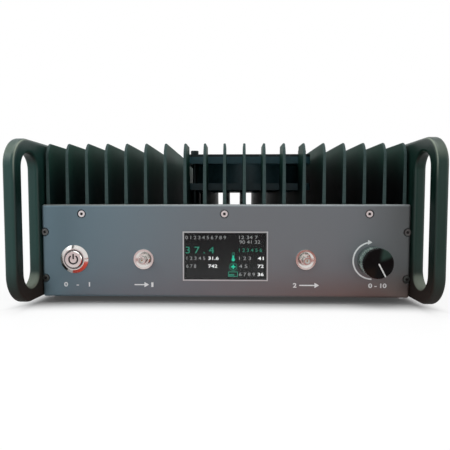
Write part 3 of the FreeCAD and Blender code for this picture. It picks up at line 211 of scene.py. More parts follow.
# Painted shade: the fins right of the fan are painted nearly black, less so near their tops.
shaded_right_side = x.rise(*right_of_fan) * (1 - 0.8 * fin_top)
end = (abs(ny) - 0.15).rise(0.0, 0.5)
faces = sink_black.mix(
    fin_top,
    sink_black.mix(dust, tone(12, 30, 30), tone(20, 40, 38)),
    sink_black.mix(dust, tone(24, 58, 49), tone(36, 74, 63)),
)
sink_black.cover({
    "Base Color": sink_black.mix(
        end,
        sink_black.mix(0.92 * shaded_right_side, faces, tone(2, 3, 4)),
        sink_black.mix(sawn, tone(46, 61, 61), tone(72, 89, 87)),
    ),
    "Metallic": 0.1,
    "Roughness": 0.42 + 0.12 * dust,
    "Specular IOR Level": 0.05,
    "Normal": sink_black.bump(drawn * (1 - end) + sawn * end, 0.04 * mm),
})
dress(sink_black, "heat_sink")


# Case. The rear panel and the bottom cover are grey sheet aluminium with a fine wrinkle finish;
# the four corner bars that tie them to the side plates are bare and milled.

sheet_grey = Paint("grey_wrinkle_paint")
wrinkle = sheet_grey.noise(1100.0, detail=5.0)
sheet_grey.cover({
    "Base Color": sheet_grey.mix(wrinkle, tone(66, 69, 71), tone(82, 85, 88)),
    "Roughness": 0.55 + 0.15 * wrinkle,
    "Normal": sheet_grey.bump(wrinkle, 0.08 * mm),
})
dress(sheet_grey, "rear_panel", "bottom_cover")

milled = Paint("milled_aluminium")
cutter_lines = milled.noise(1800.0, stretch=(0.05, 1.0, 1.0))
milled.cover({
    "Base Color": milled.mix(cutter_lines, tone(186, 188, 190), tone(206, 208, 209)),
    "Metallic": 1.0,
    "Roughness": 0.26 + 0.16 * cutter_lines,
    "Normal": milled.bump(cutter_lines, 0.01 * mm),
})
dress(milled, "corner_bars")


# Front panel. 5 mm aluminium, bead blasted and anodised grey, with its front edges rounded over.
# The legends are white ink, printed in a layer that can just be felt.

panel_grey = Paint("grey_anodised_panel")
blasted = panel_grey.noise(3800.0)
tint = panel_grey.noise(7.0)
left_part = (-170 * mm, 30 * mm)
right_part = (-40 * mm, 170 * mm)
right_end = (110 * mm, 170 * mm)
lower_part = (0.0, 38 * mm)
[nz] = panel_grey.facing("z")
x, z = panel_grey.axes(panel_grey.point, "xz")
# Painted highlight: the rounded top edge is painted lighter, less so on the left.
rim_highlight = nz.rise(0.15, 0.9)
# Painted light: the left of the panel is painted a cool blue grey.
cool_light = 1 - x.rise(*left_part)
# Painted shade: the right end of the panel is painted darker.
shaded_end = x.rise(*right_end)
# Painted reflection: the lower right of the panel is painted warm brown.
warm_reflection = x.rise(*right_part) * (1 - z.rise(*lower_part))
body = panel_grey.mix(tint, tone(106, 112, 116), tone(111, 116, 120))
body = panel_grey.mix(cool_light, body, tone(98, 120, 130))
body = panel_grey.mix(shaded_end, body, tone(90, 94, 95))
body = panel_grey.mix(warm_reflection, body, tone(106, 90, 84))
panel_grey.cover({
    "Base Color": panel_grey.mix(
        rim_highlight, body, panel_grey.mix(cool_light, tone(138, 144, 145), tone(103, 108, 105))),
    "Metallic": 0.55,
    "Roughness": 0.46 + 0.10 * blasted,
    "Normal": panel_grey.bump(blasted, 0.012 * mm),
})
dress(panel_grey, "front_panel")

ink = Paint("white_ink")
speck = ink.noise(5200.0)
ink.cover({
    "Base Color": ink.mix(speck, tone(206, 207, 208), tone(226, 227, 227)),
    "Roughness": 0.5 + 0.1 * speck,
    "Normal": ink.bump(speck, 0.004 * mm),
})
ink_thickness = 0.06 * mm
legend_z = 17.1 * mm
legend_height = 4.1 * mm
legend_weight = 0.03


def middle(name):
    """The middle of a piece of the frame."""
    low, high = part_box(name)
    return (low + high) / 2


def start_shape():
    """Nothing is selected before a new shape is begun."""
    bpy.ops.object.select_all(action="DESELECT")


def finish_shape(name, paint, body):
    """Names the shape in hand, fixes its place in its mesh and fastens it to its body."""
    piece = bpy.context.object
    bpy.ops.object.transform_apply(location=True, rotation=True, scale=True)
    bpy.ops.object.mode_set(mode="EDIT")
    bpy.ops.mesh.select_all(action="SELECT")
    bpy.ops.mesh.remove_doubles(threshold=0.002 * mm)
    bpy.ops.mesh.normals_make_consistent(inside=False)
    bpy.ops.object.mode_set(mode="OBJECT")
    piece.name = name
    piece.data.name = name
    piece.data.materials.clear()
    piece.data.materials.append(paint.material)
    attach(piece, body)
    return piece


def numerals(name, text, place, width, height, weight, thickness, paint):
    """Plain numbers that face the front, drawn so wide and high round a place."""
    start_shape()
    bpy.ops.object.text_add(rotation=(math.pi / 2, 0, 0))
    words = bpy.context.object.data
    words.body = text
    words.offset = weight
    words.extrude = thickness / 2
    bpy.ops.object.convert(target="MESH")
    bpy.ops.object.transform_apply(location=True, rotation=True, scale=True)
    corners = [Vector(corner) for corner in bpy.context.object.bound_box]
    low, high = corners[0], corners[6]
    bpy.ops.object.mode_set(mode="EDIT")
    bpy.ops.mesh.select_all(action="SELECT")
    bpy.ops.transform.resize(value=(width / (high.x - low.x), 1, height / (high.z - low.z)),
                             center_override=(low + high) / 2)
    bpy.ops.transform.translate(value=Vector(place) - (low + high) / 2)
    bpy.ops.object.mode_set(mode="OBJECT")
    return finish_shape(name, paint, "chassis")


def raise_face(thickness):
    """In edit mode: gives the selected flat faces their thickness towards the front."""
    bpy.ops.mesh.extrude_region_move(TRANSFORM_OT_translate={"value": (0, -thickness, 0)})


def arrow(name, tail, length, width, head, paint):
    """A flat printed arrow to the right."""
    stem = length - head
    start_shape()
    bpy.ops.mesh.primitive_plane_add(size=1, location=tail + Vector((stem / 2, 0, 0)),
                                     rotation=(math.pi / 2, 0, 0))
    bpy.ops.object.mode_set(mode="EDIT")
    bpy.ops.transform.resize(value=(stem, 1, width))
    bpy.ops.mesh.primitive_circle_add(vertices=3, radius=head * 2 / 3, fill_type="NGON",
                                      location=tail + Vector((stem + head / 3, 0, 0)),
                                      rotation=(math.pi / 2, math.pi / 2, 0))
    bpy.ops.mesh.select_all(action="SELECT")
    raise_face(ink_thickness)
    bpy.ops.object.mode_set(mode="OBJECT")
    return finish_shape(name, paint, "chassis")


panel_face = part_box("front_panel")[0].y
power_centre = middle("power_button")
input_centre = middle("input_connector")
output_centre = middle("output_connector")
gain_centre = middle("gain_knob")

ink_y = panel_face - ink_thickness / 2
for name, text, centre, width in (
    ("power_legend", "0    -    1", power_centre.x + 1.7 * mm, 23.5 * mm),
    ("input_number", "1", input_centre.x + 7.5 * mm, 1.9 * mm),
    ("output_number", "2", output_centre.x - 9.5 * mm, 3.2 * mm),
    ("gain_legend", "0 - 10", gain_centre.x + 5.3 * mm, 16.0 * mm),
):
    numerals(name, text, (centre, ink_y, legend_z), width, legend_height, legend_weight,
             ink_thickness, ink)
arrow_stroke = 1.0 * mm
arrow_head = 4.1 * mm
for name, tail, length in (
    ("input_arrow", input_centre.x - 8.5 * mm, 13.0 * mm),
    ("output_arrow", output_centre.x - 5.5 * mm, 17.5 * mm),
):
    arrow(name, Vector((tail, panel_face, legend_z)), length, arrow_stroke, arrow_head,
          ink)

# The turning arrow round the gain knob: half a ring of ink from below it, round its left, to the top.
ring_radius = 16.3 * mm
ring_stroke = 1.3 * mm
ring_head = 3.8 * mm
ring_centre = Vector((gain_centre.x, panel_face, gain_centre.z))
start_shape()
bpy.ops.mesh.primitive_circle_add(
    vertices=96, radius=ring_radius - ring_stroke / 2, fill_type="NOTHING",
    location=ring_centre, rotation=(math.pi / 2, 0, 0))
bpy.ops.object.mode_set(mode="EDIT")
bpy.ops.mesh.extrude_edges_move()
grow = (ring_radius + ring_stroke / 2) / (ring_radius - ring_stroke / 2)
bpy.ops.transform.resize(value=(grow, 1, grow), center_override=ring_centre)
bpy.ops.mesh.select_all(action="SELECT")
bpy.ops.mesh.bisect(plane_co=ring_centre - Vector((ring_head / 2, 0, 0)),
                    plane_no=(1, 0, ring_head / ring_radius / 2), clear_outer=True)
bpy.ops.mesh.primitive_circle_add(
    vertices=3, radius=ring_head * 2 / 3, fill_type="NGON", rotation=(math.pi / 2, math.pi / 2, 0),
    location=ring_centre + Vector((-ring_head * 0.62, 0, ring_radius)))
bpy.ops.mesh.select_all(action="SELECT")
raise_face(ink_thickness)
bpy.ops.object.mode_set(mode="OBJECT")
finish_shape("gain_arrow", ink, "chassis")


# Screws. Socket heads of bright zinc-plated steel, some dulled by handling, in all the panels
# and inside; the same finish is on the switch nut, the potentiometer and the inlet's pins.

zinc = Paint("bright_zinc_plate")
plated = zinc.noise(900.0)
dulled = zinc.noise(60.0)
zinc.cover({
    "Base Color": zinc.mix(dulled, tone(196, 197, 199), tone(222, 222, 221)),
    "Metallic": 1.0,
    "Roughness": 0.20 + 0.14 * plated,
    "Normal": zinc.bump(plated, 0.006 * mm),
})
dress(zinc, "side_screws", "rear_screws", "cover_screws", "foot_screws", "lid_screws",
      "module_screws", "board_screws", "power_switch_nut", "potentiometer_shaft",
      "potentiometer_body", "potentiometer_nut", "mains_inlet_pins")

# Panel screws: the same zinc, with painted shade in their sockets and on the heads beside the side
# plates.
shaded_zinc = Paint("zinc_with_painted_shade")
plated = shaded_zinc.noise(900.0)
socket_depth = 0.12 * mm
handle_near = 150 * mm
x, y = shaded_zinc.axes(shaded_zinc.point, "xy")
# Painted shade: the hex sockets of the panel screws are painted dark.
in_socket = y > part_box("panel_screws")[0].y + socket_depth
# Painted shadow: the heads beside the side plates are painted darker, as if shaded by the plates.
beside_handle = abs(x) > handle_near
head = shaded_zinc.mix(beside_handle, tone(214, 211, 211), tone(112, 116, 115))
shaded_zinc.cover({
    "Base Color": shaded_zinc.mix(in_socket, head, tone(24, 23, 23)),
    "Metallic": 1 - in_socket,
    "Roughness": 0.24 + 0.14 * plated,
    "Normal": shaded_zinc.bump(plated, 0.006 * mm),
})
dress(shaded_zinc, "panel_screws")


# Fan. Frame and rotor are moulded in black glass-filled plastic with a faint flow pattern; it
# stands on four blackened posts over the cut fins and is covered by a blackened steel guard.

moulded = Paint("black_moulded_plastic")
flow = moulded.noise(320.0, detail=4.0)
# Painted light: the top lip of the fan frame is painted a lighter teal.
lip_heights = (125 * mm, 128 * mm)
[z] = moulded.axes(moulded.point, "z")
lip = z.rise(*lip_heights)
moulded.cover({
    "Base Color": moulded.mix(
        lip,
        moulded.mix(flow, tone(28, 50, 55), tone(42, 68, 74)),
        moulded.mix(flow, tone(34, 66, 74), tone(48, 84, 92)),
    ),
    "Roughness": 0.38 + 0.16 * flow,
    "Specular IOR Level": 0.3,
    "Normal": moulded.bump(flow, 0.02 * mm),
})
dress(moulded, "fan_frame", "fan_rotor")

blackened = Paint("blackened_steel")
oxide = blackened.noise(700.0, detail=4.0)
wear_and_highlight = blackened.noise(95.0).rise(0.60, 0.72)
blackened.cover({
    "Base Color": blackened.mix(wear_and_highlight, tone(32, 42, 44), tone(66, 78, 79)),
    "Metallic": 0.7,
    "Roughness": 0.36 + 0.14 * oxide,
    "Normal": blackened.bump(oxide, 0.015 * mm),
})
dress(blackened, "fan_guard", "fan_posts", "fan_bolts", "knob_set_screw")

laminated = Paint("laminated_core")
[z] = laminated.axes(laminated.point, "z")
sheet_pitch = 0.5 * mm
leaf = laminated.math("PINGPONG", z, sheet_pitch) * (1 / sheet_pitch)
laminated.cover({
    "Base Color": laminated.mix(leaf, tone(90, 62, 44), tone(150, 104, 72)),
    "Metallic": 0.8,
    "Roughness": 0.35 + 0.2 * leaf,
    "Normal": laminated.bump(leaf, 0.1 * mm),
})
dress(laminated, "fan_stator")
dress(zinc, "fan_shaft", "fan_bearings")


# Power switch. A vandal-proof push switch in polished stainless steel: a coned bezel, a dark ring
# lens that is not lit, and a raised button with the usual symbol etched and filled black.

polished = Paint("polished_stainless")
brushed_rings = polished.noise(1400.0, detail=2.0)
smear = polished.noise(120.0)
polished.cover({
    "Base Color": polished.mix(smear, tone(206, 203, 199), tone(222, 219, 216)),
    "Metallic": 1.0,
    "Roughness": 0.10 + 0.12 * smear,
    "Normal": polished.bump(brushed_rings, 0.002 * mm),
})
dress(polished, "power_switch_body", "power_button")

lens = Paint("dark_ring_lens")
frost = lens.noise(2200.0)
lens.cover({
    "Base Color": lens.mix(frost, tone(120, 114, 114), tone(142, 136, 136)),
    "Roughness": 0.3 + 0.15 * frost,
    "Coat Weight": 0.4,
    "Normal": lens.bump(frost, 0.01 * mm),
})
dress(lens, "power_light_ring")
dress(moulded, "power_switch_base")

black_fill = Paint("black_fill")
matt = black_fill.noise(3000.0)
black_fill.cover({
    "Base Color": black_fill.mix(matt, tone(14, 14, 15), tone(24, 24, 25)),
    "Roughness": 0.5 + 0.15 * matt,
    "Normal": black_fill.bump(matt, 0.005 * mm),
})
symbol_radius = 3.8 * mm
symbol_stroke = 1.4 * mm
symbol_gap = math.radians(36)
symbol_bar = 4.7 * mm
symbol_height = 0.05 * mm
button_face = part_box("power_button")[0].y
symbol_centre = Vector((power_centre.x, button_face, power_centre.z))
start_shape()
bpy.ops.mesh.primitive_circle_add(
    vertices=64, radius=symbol_radius - symbol_stroke / 2, fill_type="NOTHING",
    location=symbol_centre, rotation=(math.pi / 2, 0, 0))
bpy.ops.object.mode_set(mode="EDIT")
bpy.ops.mesh.extrude_edges_move()
grow = (symbol_radius + symbol_stroke / 2) / (symbol_radius - symbol_stroke / 2)
bpy.ops.transform.resize(value=(grow, 1, grow), center_override=symbol_centre)
bpy.ops.object.mode_set(mode="OBJECT")
bpy.ops.object.transform_apply(location=True, rotation=True, scale=True)
for face in bpy.context.object.data.polygons:
    out = face.center - symbol_centre
    face.select = math.atan2(abs(out.x), out.z) < symbol_gap
bpy.ops.object.mode_set(mode="EDIT")
bpy.ops.mesh.select_mode(type="FACE")
bpy.ops.mesh.delete(type="FACE")
bar_middle = symbol_centre + Vector((0, 0, symbol_bar / 2 + symbol_stroke / 4))
bpy.ops.mesh.primitive_plane_add(size=1, rotation=(math.pi / 2, 0, 0), location=bar_middle)
bpy.ops.transform.resize(value=(symbol_stroke, 1, symbol_bar))
bpy.ops.mesh.select_all(action="SELECT")
raise_face(symbol_height)
bpy.ops.object.mode_set(mode="OBJECT")
finish_shape("power_symbol", black_fill, "button")


# Coaxial connectors. Bulkhead jacks in passivated stainless steel with a dished, polished washer
# and a hexagon nut; the centre contact is gold plated in a white insulator.

dress(polished, "connector_washers", "connector_nuts", "input_connector", "output_connector")

gold = Paint("gold_plate")
plating = gold.noise(1600.0)
gold.cover({
    "Base Color": gold.mix(plating, tone(212, 170, 92), tone(232, 192, 118)),
    "Metallic": 1.0,
    "Roughness": 0.18 + 0.12 * plating,
    "Normal": gold.bump(plating, 0.004 * mm),
})
dress(gold, "connector_contacts", "coax_nuts")

insulator = Paint("white_insulator")
turned = insulator.noise(2400.0)
insulator.cover({
    "Base Color": insulator.mix(turned, tone(214, 213, 208), tone(228, 227, 223)),
    "Roughness": 0.42 + 0.12 * turned,
    "Normal": insulator.bump(turned, 0.006 * mm),
})
dress(insulator, "connector_insulators")


def thread(name, start, towards, radius, pitch, length, paint):
    """The ridge of a screw thread round a plain barrel, wound from start along -Y or +Y."""
    depth = 0.32 * pitch
    run_out = 0.01 * mm
    turns = int((length - run_out) / pitch)
    start_shape()
    bpy.ops.mesh.primitive_circle_add(
        vertices=3, radius=depth, fill_type="NOTHING",
        location=(radius + depth * 0.35, 0, 0), rotation=(math.pi / 2, 0, 0))
    bpy.ops.object.transform_apply(location=True, rotation=True, scale=True)
    ridge = bpy.context.object
    screw = ridge.modifiers.new("screw", "SCREW")
    screw.axis = "Z"
    screw.screw_offset = pitch
    screw.iterations = turns
    screw.steps = 32
    screw.render_steps = 32
    bpy.ops.object.modifier_apply(modifier=screw.name)
    bpy.ops.object.mode_set(mode="EDIT")
    bpy.ops.mesh.select_mode(type="EDGE")
    bpy.ops.mesh.select_all(action="DESELECT")
    bpy.ops.mesh.select_non_manifold()
    bpy.ops.mesh.fill()
    bpy.ops.object.mode_set(mode="OBJECT")
    ridge.rotation_euler = (math.copysign(math.pi / 2, -towards), 0, 0)
    ridge.location = start
    return finish_shape(name, paint, "chassis")


coax_radius = 3.175 * mm
coax_pitch = 0.7056 * mm
coax_margin = 0.7 * mm
nut_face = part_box("connector_nuts")[0].y
barrel_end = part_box("input_connector")[0].y
barrel_length = nut_face - barrel_end - 2 * coax_margin
for name, centre in (("input_thread", input_centre), ("output_thread", output_centre)):
    start = Vector((centre.x, nut_face - coax_margin, centre.z))
    thread(name, start, -1, coax_radius, coax_pitch, barrel_length, polished)


# Display. A thin bright frame in the panel's window holds a clear cover glass; behind it the
# screen shows only plain numbers, bars and simple pictures.

bright_frame = Paint("bright_frame")
shaved = bright_frame.noise(1500.0)
mask_depth = 0.06 * mm
[y] = bright_frame.axes(bright_frame.point, "y")
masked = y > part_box("display_bezel")[0].y + mask_depth
bright_frame.cover({
    "Base Color": bright_frame.mix(
        masked,
        bright_frame.mix(shaved, tone(168, 170, 172), tone(184, 186, 187)),
        tone(16, 16, 17),
    ),
    "Metallic": 0.3 * (1 - masked),
    "Roughness": 0.34 + 0.12 * shaved,
    "Normal": bright_frame.bump(shaved, 0.006 * mm),
})
dress(bright_frame, "display_bezel")

glass = Paint("cover_glass")
film = glass.noise(35.0)
glass.cover({
    "Base Color": glass.mix(film, tone(236, 238, 238), tone(244, 245, 245)),
    "Roughness": 0.004 * film,
    "IOR": 1.12,
    "Transmission Weight": 1.0,
})
dress(glass, "display_window")

screen = Paint("dark_screen")
[z] = screen.axes(screen.point, "z")
screen_middle = middle("display_window")
screen_half_height = 22 * mm
glow = 1 - z.rise(screen_middle.z - screen_half_height, screen_middle.z + screen_half_height)
cells = screen.noise(6000.0)
screen.cover({
    "Base Color": screen.mix(cells, tone(10, 10, 10), tone(16, 16, 17)),
    "Roughness": 0.5 + 0.1 * cells,
    "Specular IOR Level": 0.1,
    "Emission Color": screen.mix(glow, tone(24, 24, 25), tone(54, 54, 54)),
    "Emission Strength": 0.6,
})
dress(screen, "display_module")


def lit(name, colour):
    """The finish of something that shines on the screen."""
    shine = Paint(name)
    dots = shine.noise(7000.0)
    shine.cover({
        "Base Color": (0.0, 0.0, 0.0, 1.0),
        "Roughness": 0.5,
        "Emission Color": shine.mix(dots, colour, [part * 1.15 for part in colour[:3]] + [1.0]),
        "Emission Strength": 1.0,
    })
    return shine


screen_green = lit("screen_green", tone(24, 132, 106))
screen_teal = lit("screen_teal", tone(10, 196, 156))
screen_white = lit("screen_white", tone(250, 250, 250))
screen_grey = lit("screen_grey", tone(150, 151, 151))
picture_thickness = 0.03 * mm
picture_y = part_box("display_window")[1].y + 0.05 * mm


def on_screen(across, above):
    """A place on the screen, in millimetres from its middle."""
    return Vector((screen_middle.x + across * mm, picture_y, screen_middle.z + above * mm))


rows = (-2.0, -9.1, -16.4)
small, large = 3.0, 6.0
plain, bold = 0.0, 0.02
for name, text, left, right, above, height, weight, paint in (
    ("screen_count", "0 1 2 3 4 5 6 7 8 9", -35.6, 0.6, 16.5, small, plain, screen_grey),
    ("screen_note_0", "12 34 7", 12.3, 28.9, 16.7, small, plain, screen_grey),
    ("screen_note_1", "90 41 32", 12.6, 31.0, 12.6, small, plain, screen_grey),
    ("screen_reading", "3 7 . 4", -35.4, -10.0, 5.3, large, plain, screen_green),
    ("screen_scale", "1 2 3 4 5 6", 12.3, 32.6, 5.3, small, plain, screen_green),
    ("screen_left_mark_0", "1 2 3 4 5", -34.6, -18.0, rows[0], small, plain, screen_grey),
    ("screen_left_mark_1", "6 7 8", -34.8, -26.1, rows[1], small, plain, screen_grey),
    ("screen_left_0", "31.6", -15.2, -5.9, rows[0], small, bold, screen_white),
    ("screen_left_1", "742", -15.2, -7.1, rows[1], small, bold, screen_white),
    ("screen_right_mark_0", "1 2 3", 12.3, 22.9, rows[0], small, plain, screen_grey),
    ("screen_right_mark_1", "4 5", 12.3, 19.6, rows[1], small, plain, screen_grey),
    ("screen_right_mark_2", "6 7 8 9", 12.3, 26.4, rows[2], small, plain, screen_grey),
    ("screen_right_0", "41", 28.8, 34.2, rows[0], small, bold, screen_white),
    ("screen_right_1", "72", 28.8, 34.2, rows[1], small, bold, screen_white),
    ("screen_right_2", "36", 28.8, 34.2, rows[2], small, bold, screen_white),
):
    numerals(name, text, on_screen((left + right) / 2, above), (right - left) * mm, height * mm, weight,
             picture_thickness, paint)


def bar(place, width, height):
    """In edit mode: one flat bar of a picture."""
    bpy.ops.mesh.primitive_plane_add(size=1, location=place, rotation=(math.pi / 2, 0, 0))
    bpy.ops.transform.resize(value=(width, 1, height))


def disc(place, radius, sides=24):
    """In edit mode: one flat disc of a picture."""
    bpy.ops.mesh.primitive_circle_add(vertices=sides, radius=radius, fill_type="NGON", location=place,
                                      rotation=(math.pi / 2, 0, 0))


def hoop(place, radius, stroke, sides=32):
    """In edit mode: one flat ring of a picture."""
    bpy.ops.mesh.primitive_circle_add(vertices=sides, radius=radius - stroke, fill_type="NOTHING",
                                      location=place, rotation=(math.pi / 2, 0, 0))
    bpy.ops.mesh.extrude_edges_move()
    grow = radius / (radius - stroke)
    bpy.ops.transform.resize(value=(grow, 1, grow), center_override=place)


def begin_picture():
    start_shape()
    bpy.ops.mesh.primitive_plane_add(size=1, location=on_screen(0, 0), rotation=(math.pi / 2, 0, 0))
    bpy.ops.object.transform_apply(location=True, rotation=True, scale=True)
    bpy.ops.object.mode_set(mode="EDIT")
    bpy.ops.mesh.delete(type="VERT")


def end_picture(name, paint):
    bpy.ops.mesh.select_all(action="SELECT")
    raise_face(picture_thickness)
    bpy.ops.object.mode_set(mode="OBJECT")
    return finish_shape(name, paint, "chassis")


# A thermometer, a fan and a module, drawn small in teal.
icon_across = 7.1
begin_picture()
disc(on_screen(icon_across, -3.2), 1.5 * mm)
bar(on_screen(icon_across, -1.2), 1.5 * mm, 3.4 * mm)
end_picture("screen_bulb", screen_teal)
begin_picture()
for side in (-0.9, 0.9):
    bar(on_screen(icon_across + side, 1.7), 0.35 * mm, 2.6 * mm)
bar(on_screen(icon_across, 3.0), 1.5 * mm, 0.35 * mm)
end_picture("screen_tube", screen_green)

begin_picture()
bar(on_screen(icon_across, -9.6), 4.0 * mm, 1.2 * mm)
bar(on_screen(icon_across, -9.6), 1.2 * mm, 4.0 * mm)
end_picture("screen_fan", screen_teal)
begin_picture()
hoop(on_screen(icon_across, -9.6), 3.5 * mm, 0.45 * mm)
end_picture("screen_fan_ring", screen_green)

begin_picture()
for above in (-14.2, -18.2):
    bar(on_screen(icon_across - 0.2, above), 8.6 * mm, 0.6 * mm)
for side in (-4.2, 3.8):
    bar(on_screen(icon_across + side, -16.2), 0.6 * mm, 4.6 * mm)
bar(on_screen(icon_across - 1.4, -16.9), 4.6 * mm, 1.2 * mm)
end_picture("screen_module", screen_green)


# Gain knob. Its thin front part is gloss black with a spun face, and the turned body behind it
# is bright. The groove for the pointer is filled white. The knob turns with its shaft.

knob_paint = Paint("knob_black_and_polished")
knob_reach = 11 * mm
groove_half_width = 0.66 * mm
groove_depths = (0.3 * mm, 0.5 * mm)
skirt_start = (2.8 * mm, 3.2 * mm)
spin_pitch = 0.24 * mm
x, y, z = knob_paint.axes(knob_paint.point)
knob_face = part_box("gain_knob")[0].y
across = x - gain_centre.x
above = z - gain_centre.z
pointer_angle = math.radians(152)
along = across * math.sin(pointer_angle) + above * math.cos(pointer_angle)
beside = abs(across * math.cos(pointer_angle) - above * math.sin(pointer_angle))
at_groove_depth = (y > knob_face + groove_depths[0]) * (y < knob_face + groove_depths[1])
in_groove = (along > 0.0) * (beside < groove_half_width) * at_groove_depth
skirt = y.rise(knob_face + skirt_start[0], knob_face + skirt_start[1])
radius = knob_paint.math("SQRT", across * across + above * above, 0.0)
spun = knob_paint.math("SINE", radius * (math.tau / spin_pitch), 0.0)
scuffs = knob_paint.noise(420.0)
gloss_black = knob_paint.mix(scuffs, tone(6, 6, 7), tone(11, 11, 12))
# Painted sheen on the black face: a greenish painted highlight to the upper right and a brown painted
# reflection to the lower left.
sheen_angle = math.radians(38)
lean = (across * math.sin(sheen_angle) + above * math.cos(sheen_angle)) * (1 / knob_reach)
slant = abs(across * math.cos(sheen_angle) - above * math.sin(sheen_angle)) * (1 / knob_reach)
wedge = 1 - (slant - 0.55 * abs(lean)).rise(-0.35, 0.12)
gloss_black = knob_paint.mix(wedge * lean.rise(0.0, 0.6), gloss_black, tone(44, 62, 56))
gloss_black = knob_paint.mix(wedge * (0.0 - lean).rise(0.1, 0.9), gloss_black, tone(24, 15, 11))
# The polished skirt is tinted green, a painted reflection of the panel.
knob_paint.cover({
    "Base Color": knob_paint.mix(in_groove, knob_paint.mix(skirt, gloss_black, tone(160, 180, 172)),
                                 tone(228, 228, 226)),
    "Metallic": skirt * (1 - in_groove),
    "Roughness": 0.16 + 0.10 * scuffs + 0.3 * in_groove,
    "Specular IOR Level": 0.08,
    "Normal": knob_paint.bump(spun * (1 - skirt) * 0.5, 0.006 * mm),
})
dress(knob_paint, "gain_knob")


# Mains inlet and earth stud on the rear panel. The inlet is moulded like the fan, and the stud
# and its nut are bright brass that has begun to darken.

dress(moulded, "mains_inlet")

brass = Paint("darkened_brass")
tarnish = brass.noise(180.0, detail=5.0)
brass.cover({
    "Base Color": brass.mix(tarnish, tone(150, 122, 66), tone(204, 172, 100)),
    "Metallic": 1.0,
    "Roughness": 0.24 + 0.2 * tarnish,
    "Normal": brass.bump(tarnish, 0.006 * mm),
})
dress(brass, "earth_stud", "earth_nut", "display_spacers", "board_standoffs")
stud_centre = middle("earth_stud")
stud_radius = 2.5 * mm
stud_pitch = 0.8 * mm
stud_margin = 0.7 * mm
stud_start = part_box("earth_nut")[1].y + stud_margin
stud_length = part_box("earth_stud")[1].y - stud_start - stud_margin
thread("stud_thread", Vector((stud_centre.x, stud_start, stud_centre.z)), 1,
       stud_radius, stud_pitch, stud_length, brass)


# Inside the case. The amplifier module in its milled housing hangs from the heat sink, joined to
# the front by semi-rigid copper coax; the power supply and the control board stand on the cover.

dress(milled, "rf_module_housing", "rf_module_lid")
dress(insulator, "rf_circuit")

copper = Paint("drawn_copper")
pulled = copper.noise(500.0, stretch=(1.0, 0.1, 1.0))
copper.cover({
    "Base Color": copper.mix(pulled, tone(176, 112, 78), tone(204, 138, 98)),
    "Metallic": 1.0,
    "Roughness": 0.22 + 0.18 * pulled,
    "Normal": copper.bump(pulled, 0.01 * mm),
})
dress(copper, "input_coax", "output_coax")

perforated = Paint("galvanised_case")
spangle = perforated.node("TexVoronoi", None, {"Vector": perforated.point, "Scale": 130.0}, "Color")
[shade] = perforated.axes(spangle, "x")
perforated.cover({
    "Base Color": perforated.mix(shade, tone(150, 154, 157), tone(184, 187, 189)),
    "Metallic": 0.9,
    "Roughness": 0.32 + 0.16 * shade,
    "Normal": perforated.bump(shade, 0.004 * mm),
})
dress(perforated, "power_supply_case")
dress(moulded, "terminal_block", "board_parts")

solder_mask = Paint("green_solder_mask")
weave = solder_mask.noise(900.0)
solder_mask.cover({
    "Base Color": solder_mask.mix(weave, tone(14, 70, 42), tone(24, 92, 56)),
    "Roughness": 0.30 + 0.14 * weave,
    "Normal": solder_mask.bump(weave, 0.02 * mm),
})
dress(solder_mask, "control_board", "display_board")


# Feet. Four turned rubber feet, matt and a little dusty at the bottom, held by recessed screws.

rubber = Paint("black_rubber")
dusty_height = 2.0 * mm
[z] = rubber.axes(rubber.point, "z")
grime = rubber.noise(260.0, detail=5.0)
scuffed = (1 - z.rise(0.0, dusty_height)) * grime
rubber.cover({
    "Base Color": rubber.mix(scuffed, tone(26, 26, 27), tone(62, 61, 59)),
    "Roughness": 0.72 + 0.16 * grime,
    "Specular IOR Level": 0.3,
    "Normal": rubber.bump(grime, 0.05 * mm),
})
dress(rubber, "feet")


# The room. A plain white floor that keeps the amplifier's shadow, even white light all round,
# soft lamps above and beside the camera, and the camera low in front, as in the photograph.

floor_size = 3.0
start_shape()
bpy.ops.mesh.primitive_plane_add(size=floor_size, location=(0, 0, 0))
floor = bpy.context.object
floor.name = "floor"
white = Paint("white_floor")
seen = white.node("LightPath", output="Is Camera Ray")
mirrored = white.node("LightPath", output="Is Glossy Ray")
through = white.node("LightPath", output="Is Transmission Ray")
direct = white.math("MAXIMUM", white.math("MAXIMUM", seen, mirrored), through)
far_off = (0.34, 0.60)
past_sides = (0.166, 0.192)
past_front = (0.112, 0.150)
past_rear = (0.160, 0.210)
x, y = white.axes(white.point, "xy")
away = white.math("SQRT", x * x + y * y, 0.0).rise(*far_off)
beside = abs(x).rise(*past_sides)
ahead = (0.0 - y).rise(*past_front)
behind = y.rise(*past_rear)
clear = white.math("MAXIMUM", white.math("MAXIMUM", beside, ahead), behind)
# Painted shadow: the paper is painted grey close round the amplifier, deepening its shadow.
shadowed_paper = white.mix(clear, (0.45, 0.45, 0.45, 1.0), (1.0, 1.0, 1.0, 1.0))
paper = white.node("BsdfDiffuse", None, {"Color": white.mix(direct, (0.8, 0.8, 0.8, 1.0), shadowed_paper)})
bright = white.node("Emission", None, {"Color": (1.0, 1.0, 1.0, 1.0), "Strength": 1.0})
glow_near, glow_clear, glow_away = 0.045, 0.755, 0.20
shining = (glow_near + glow_clear * clear + glow_away * away) * direct
ground = white.node("MixShader", None, {0: shining, 1: paper, 2: bright})
white.tree.links.new(ground.socket, white.tree.nodes.new("ShaderNodeOutputMaterial").inputs["Surface"])
floor.data.materials.append(white.material)

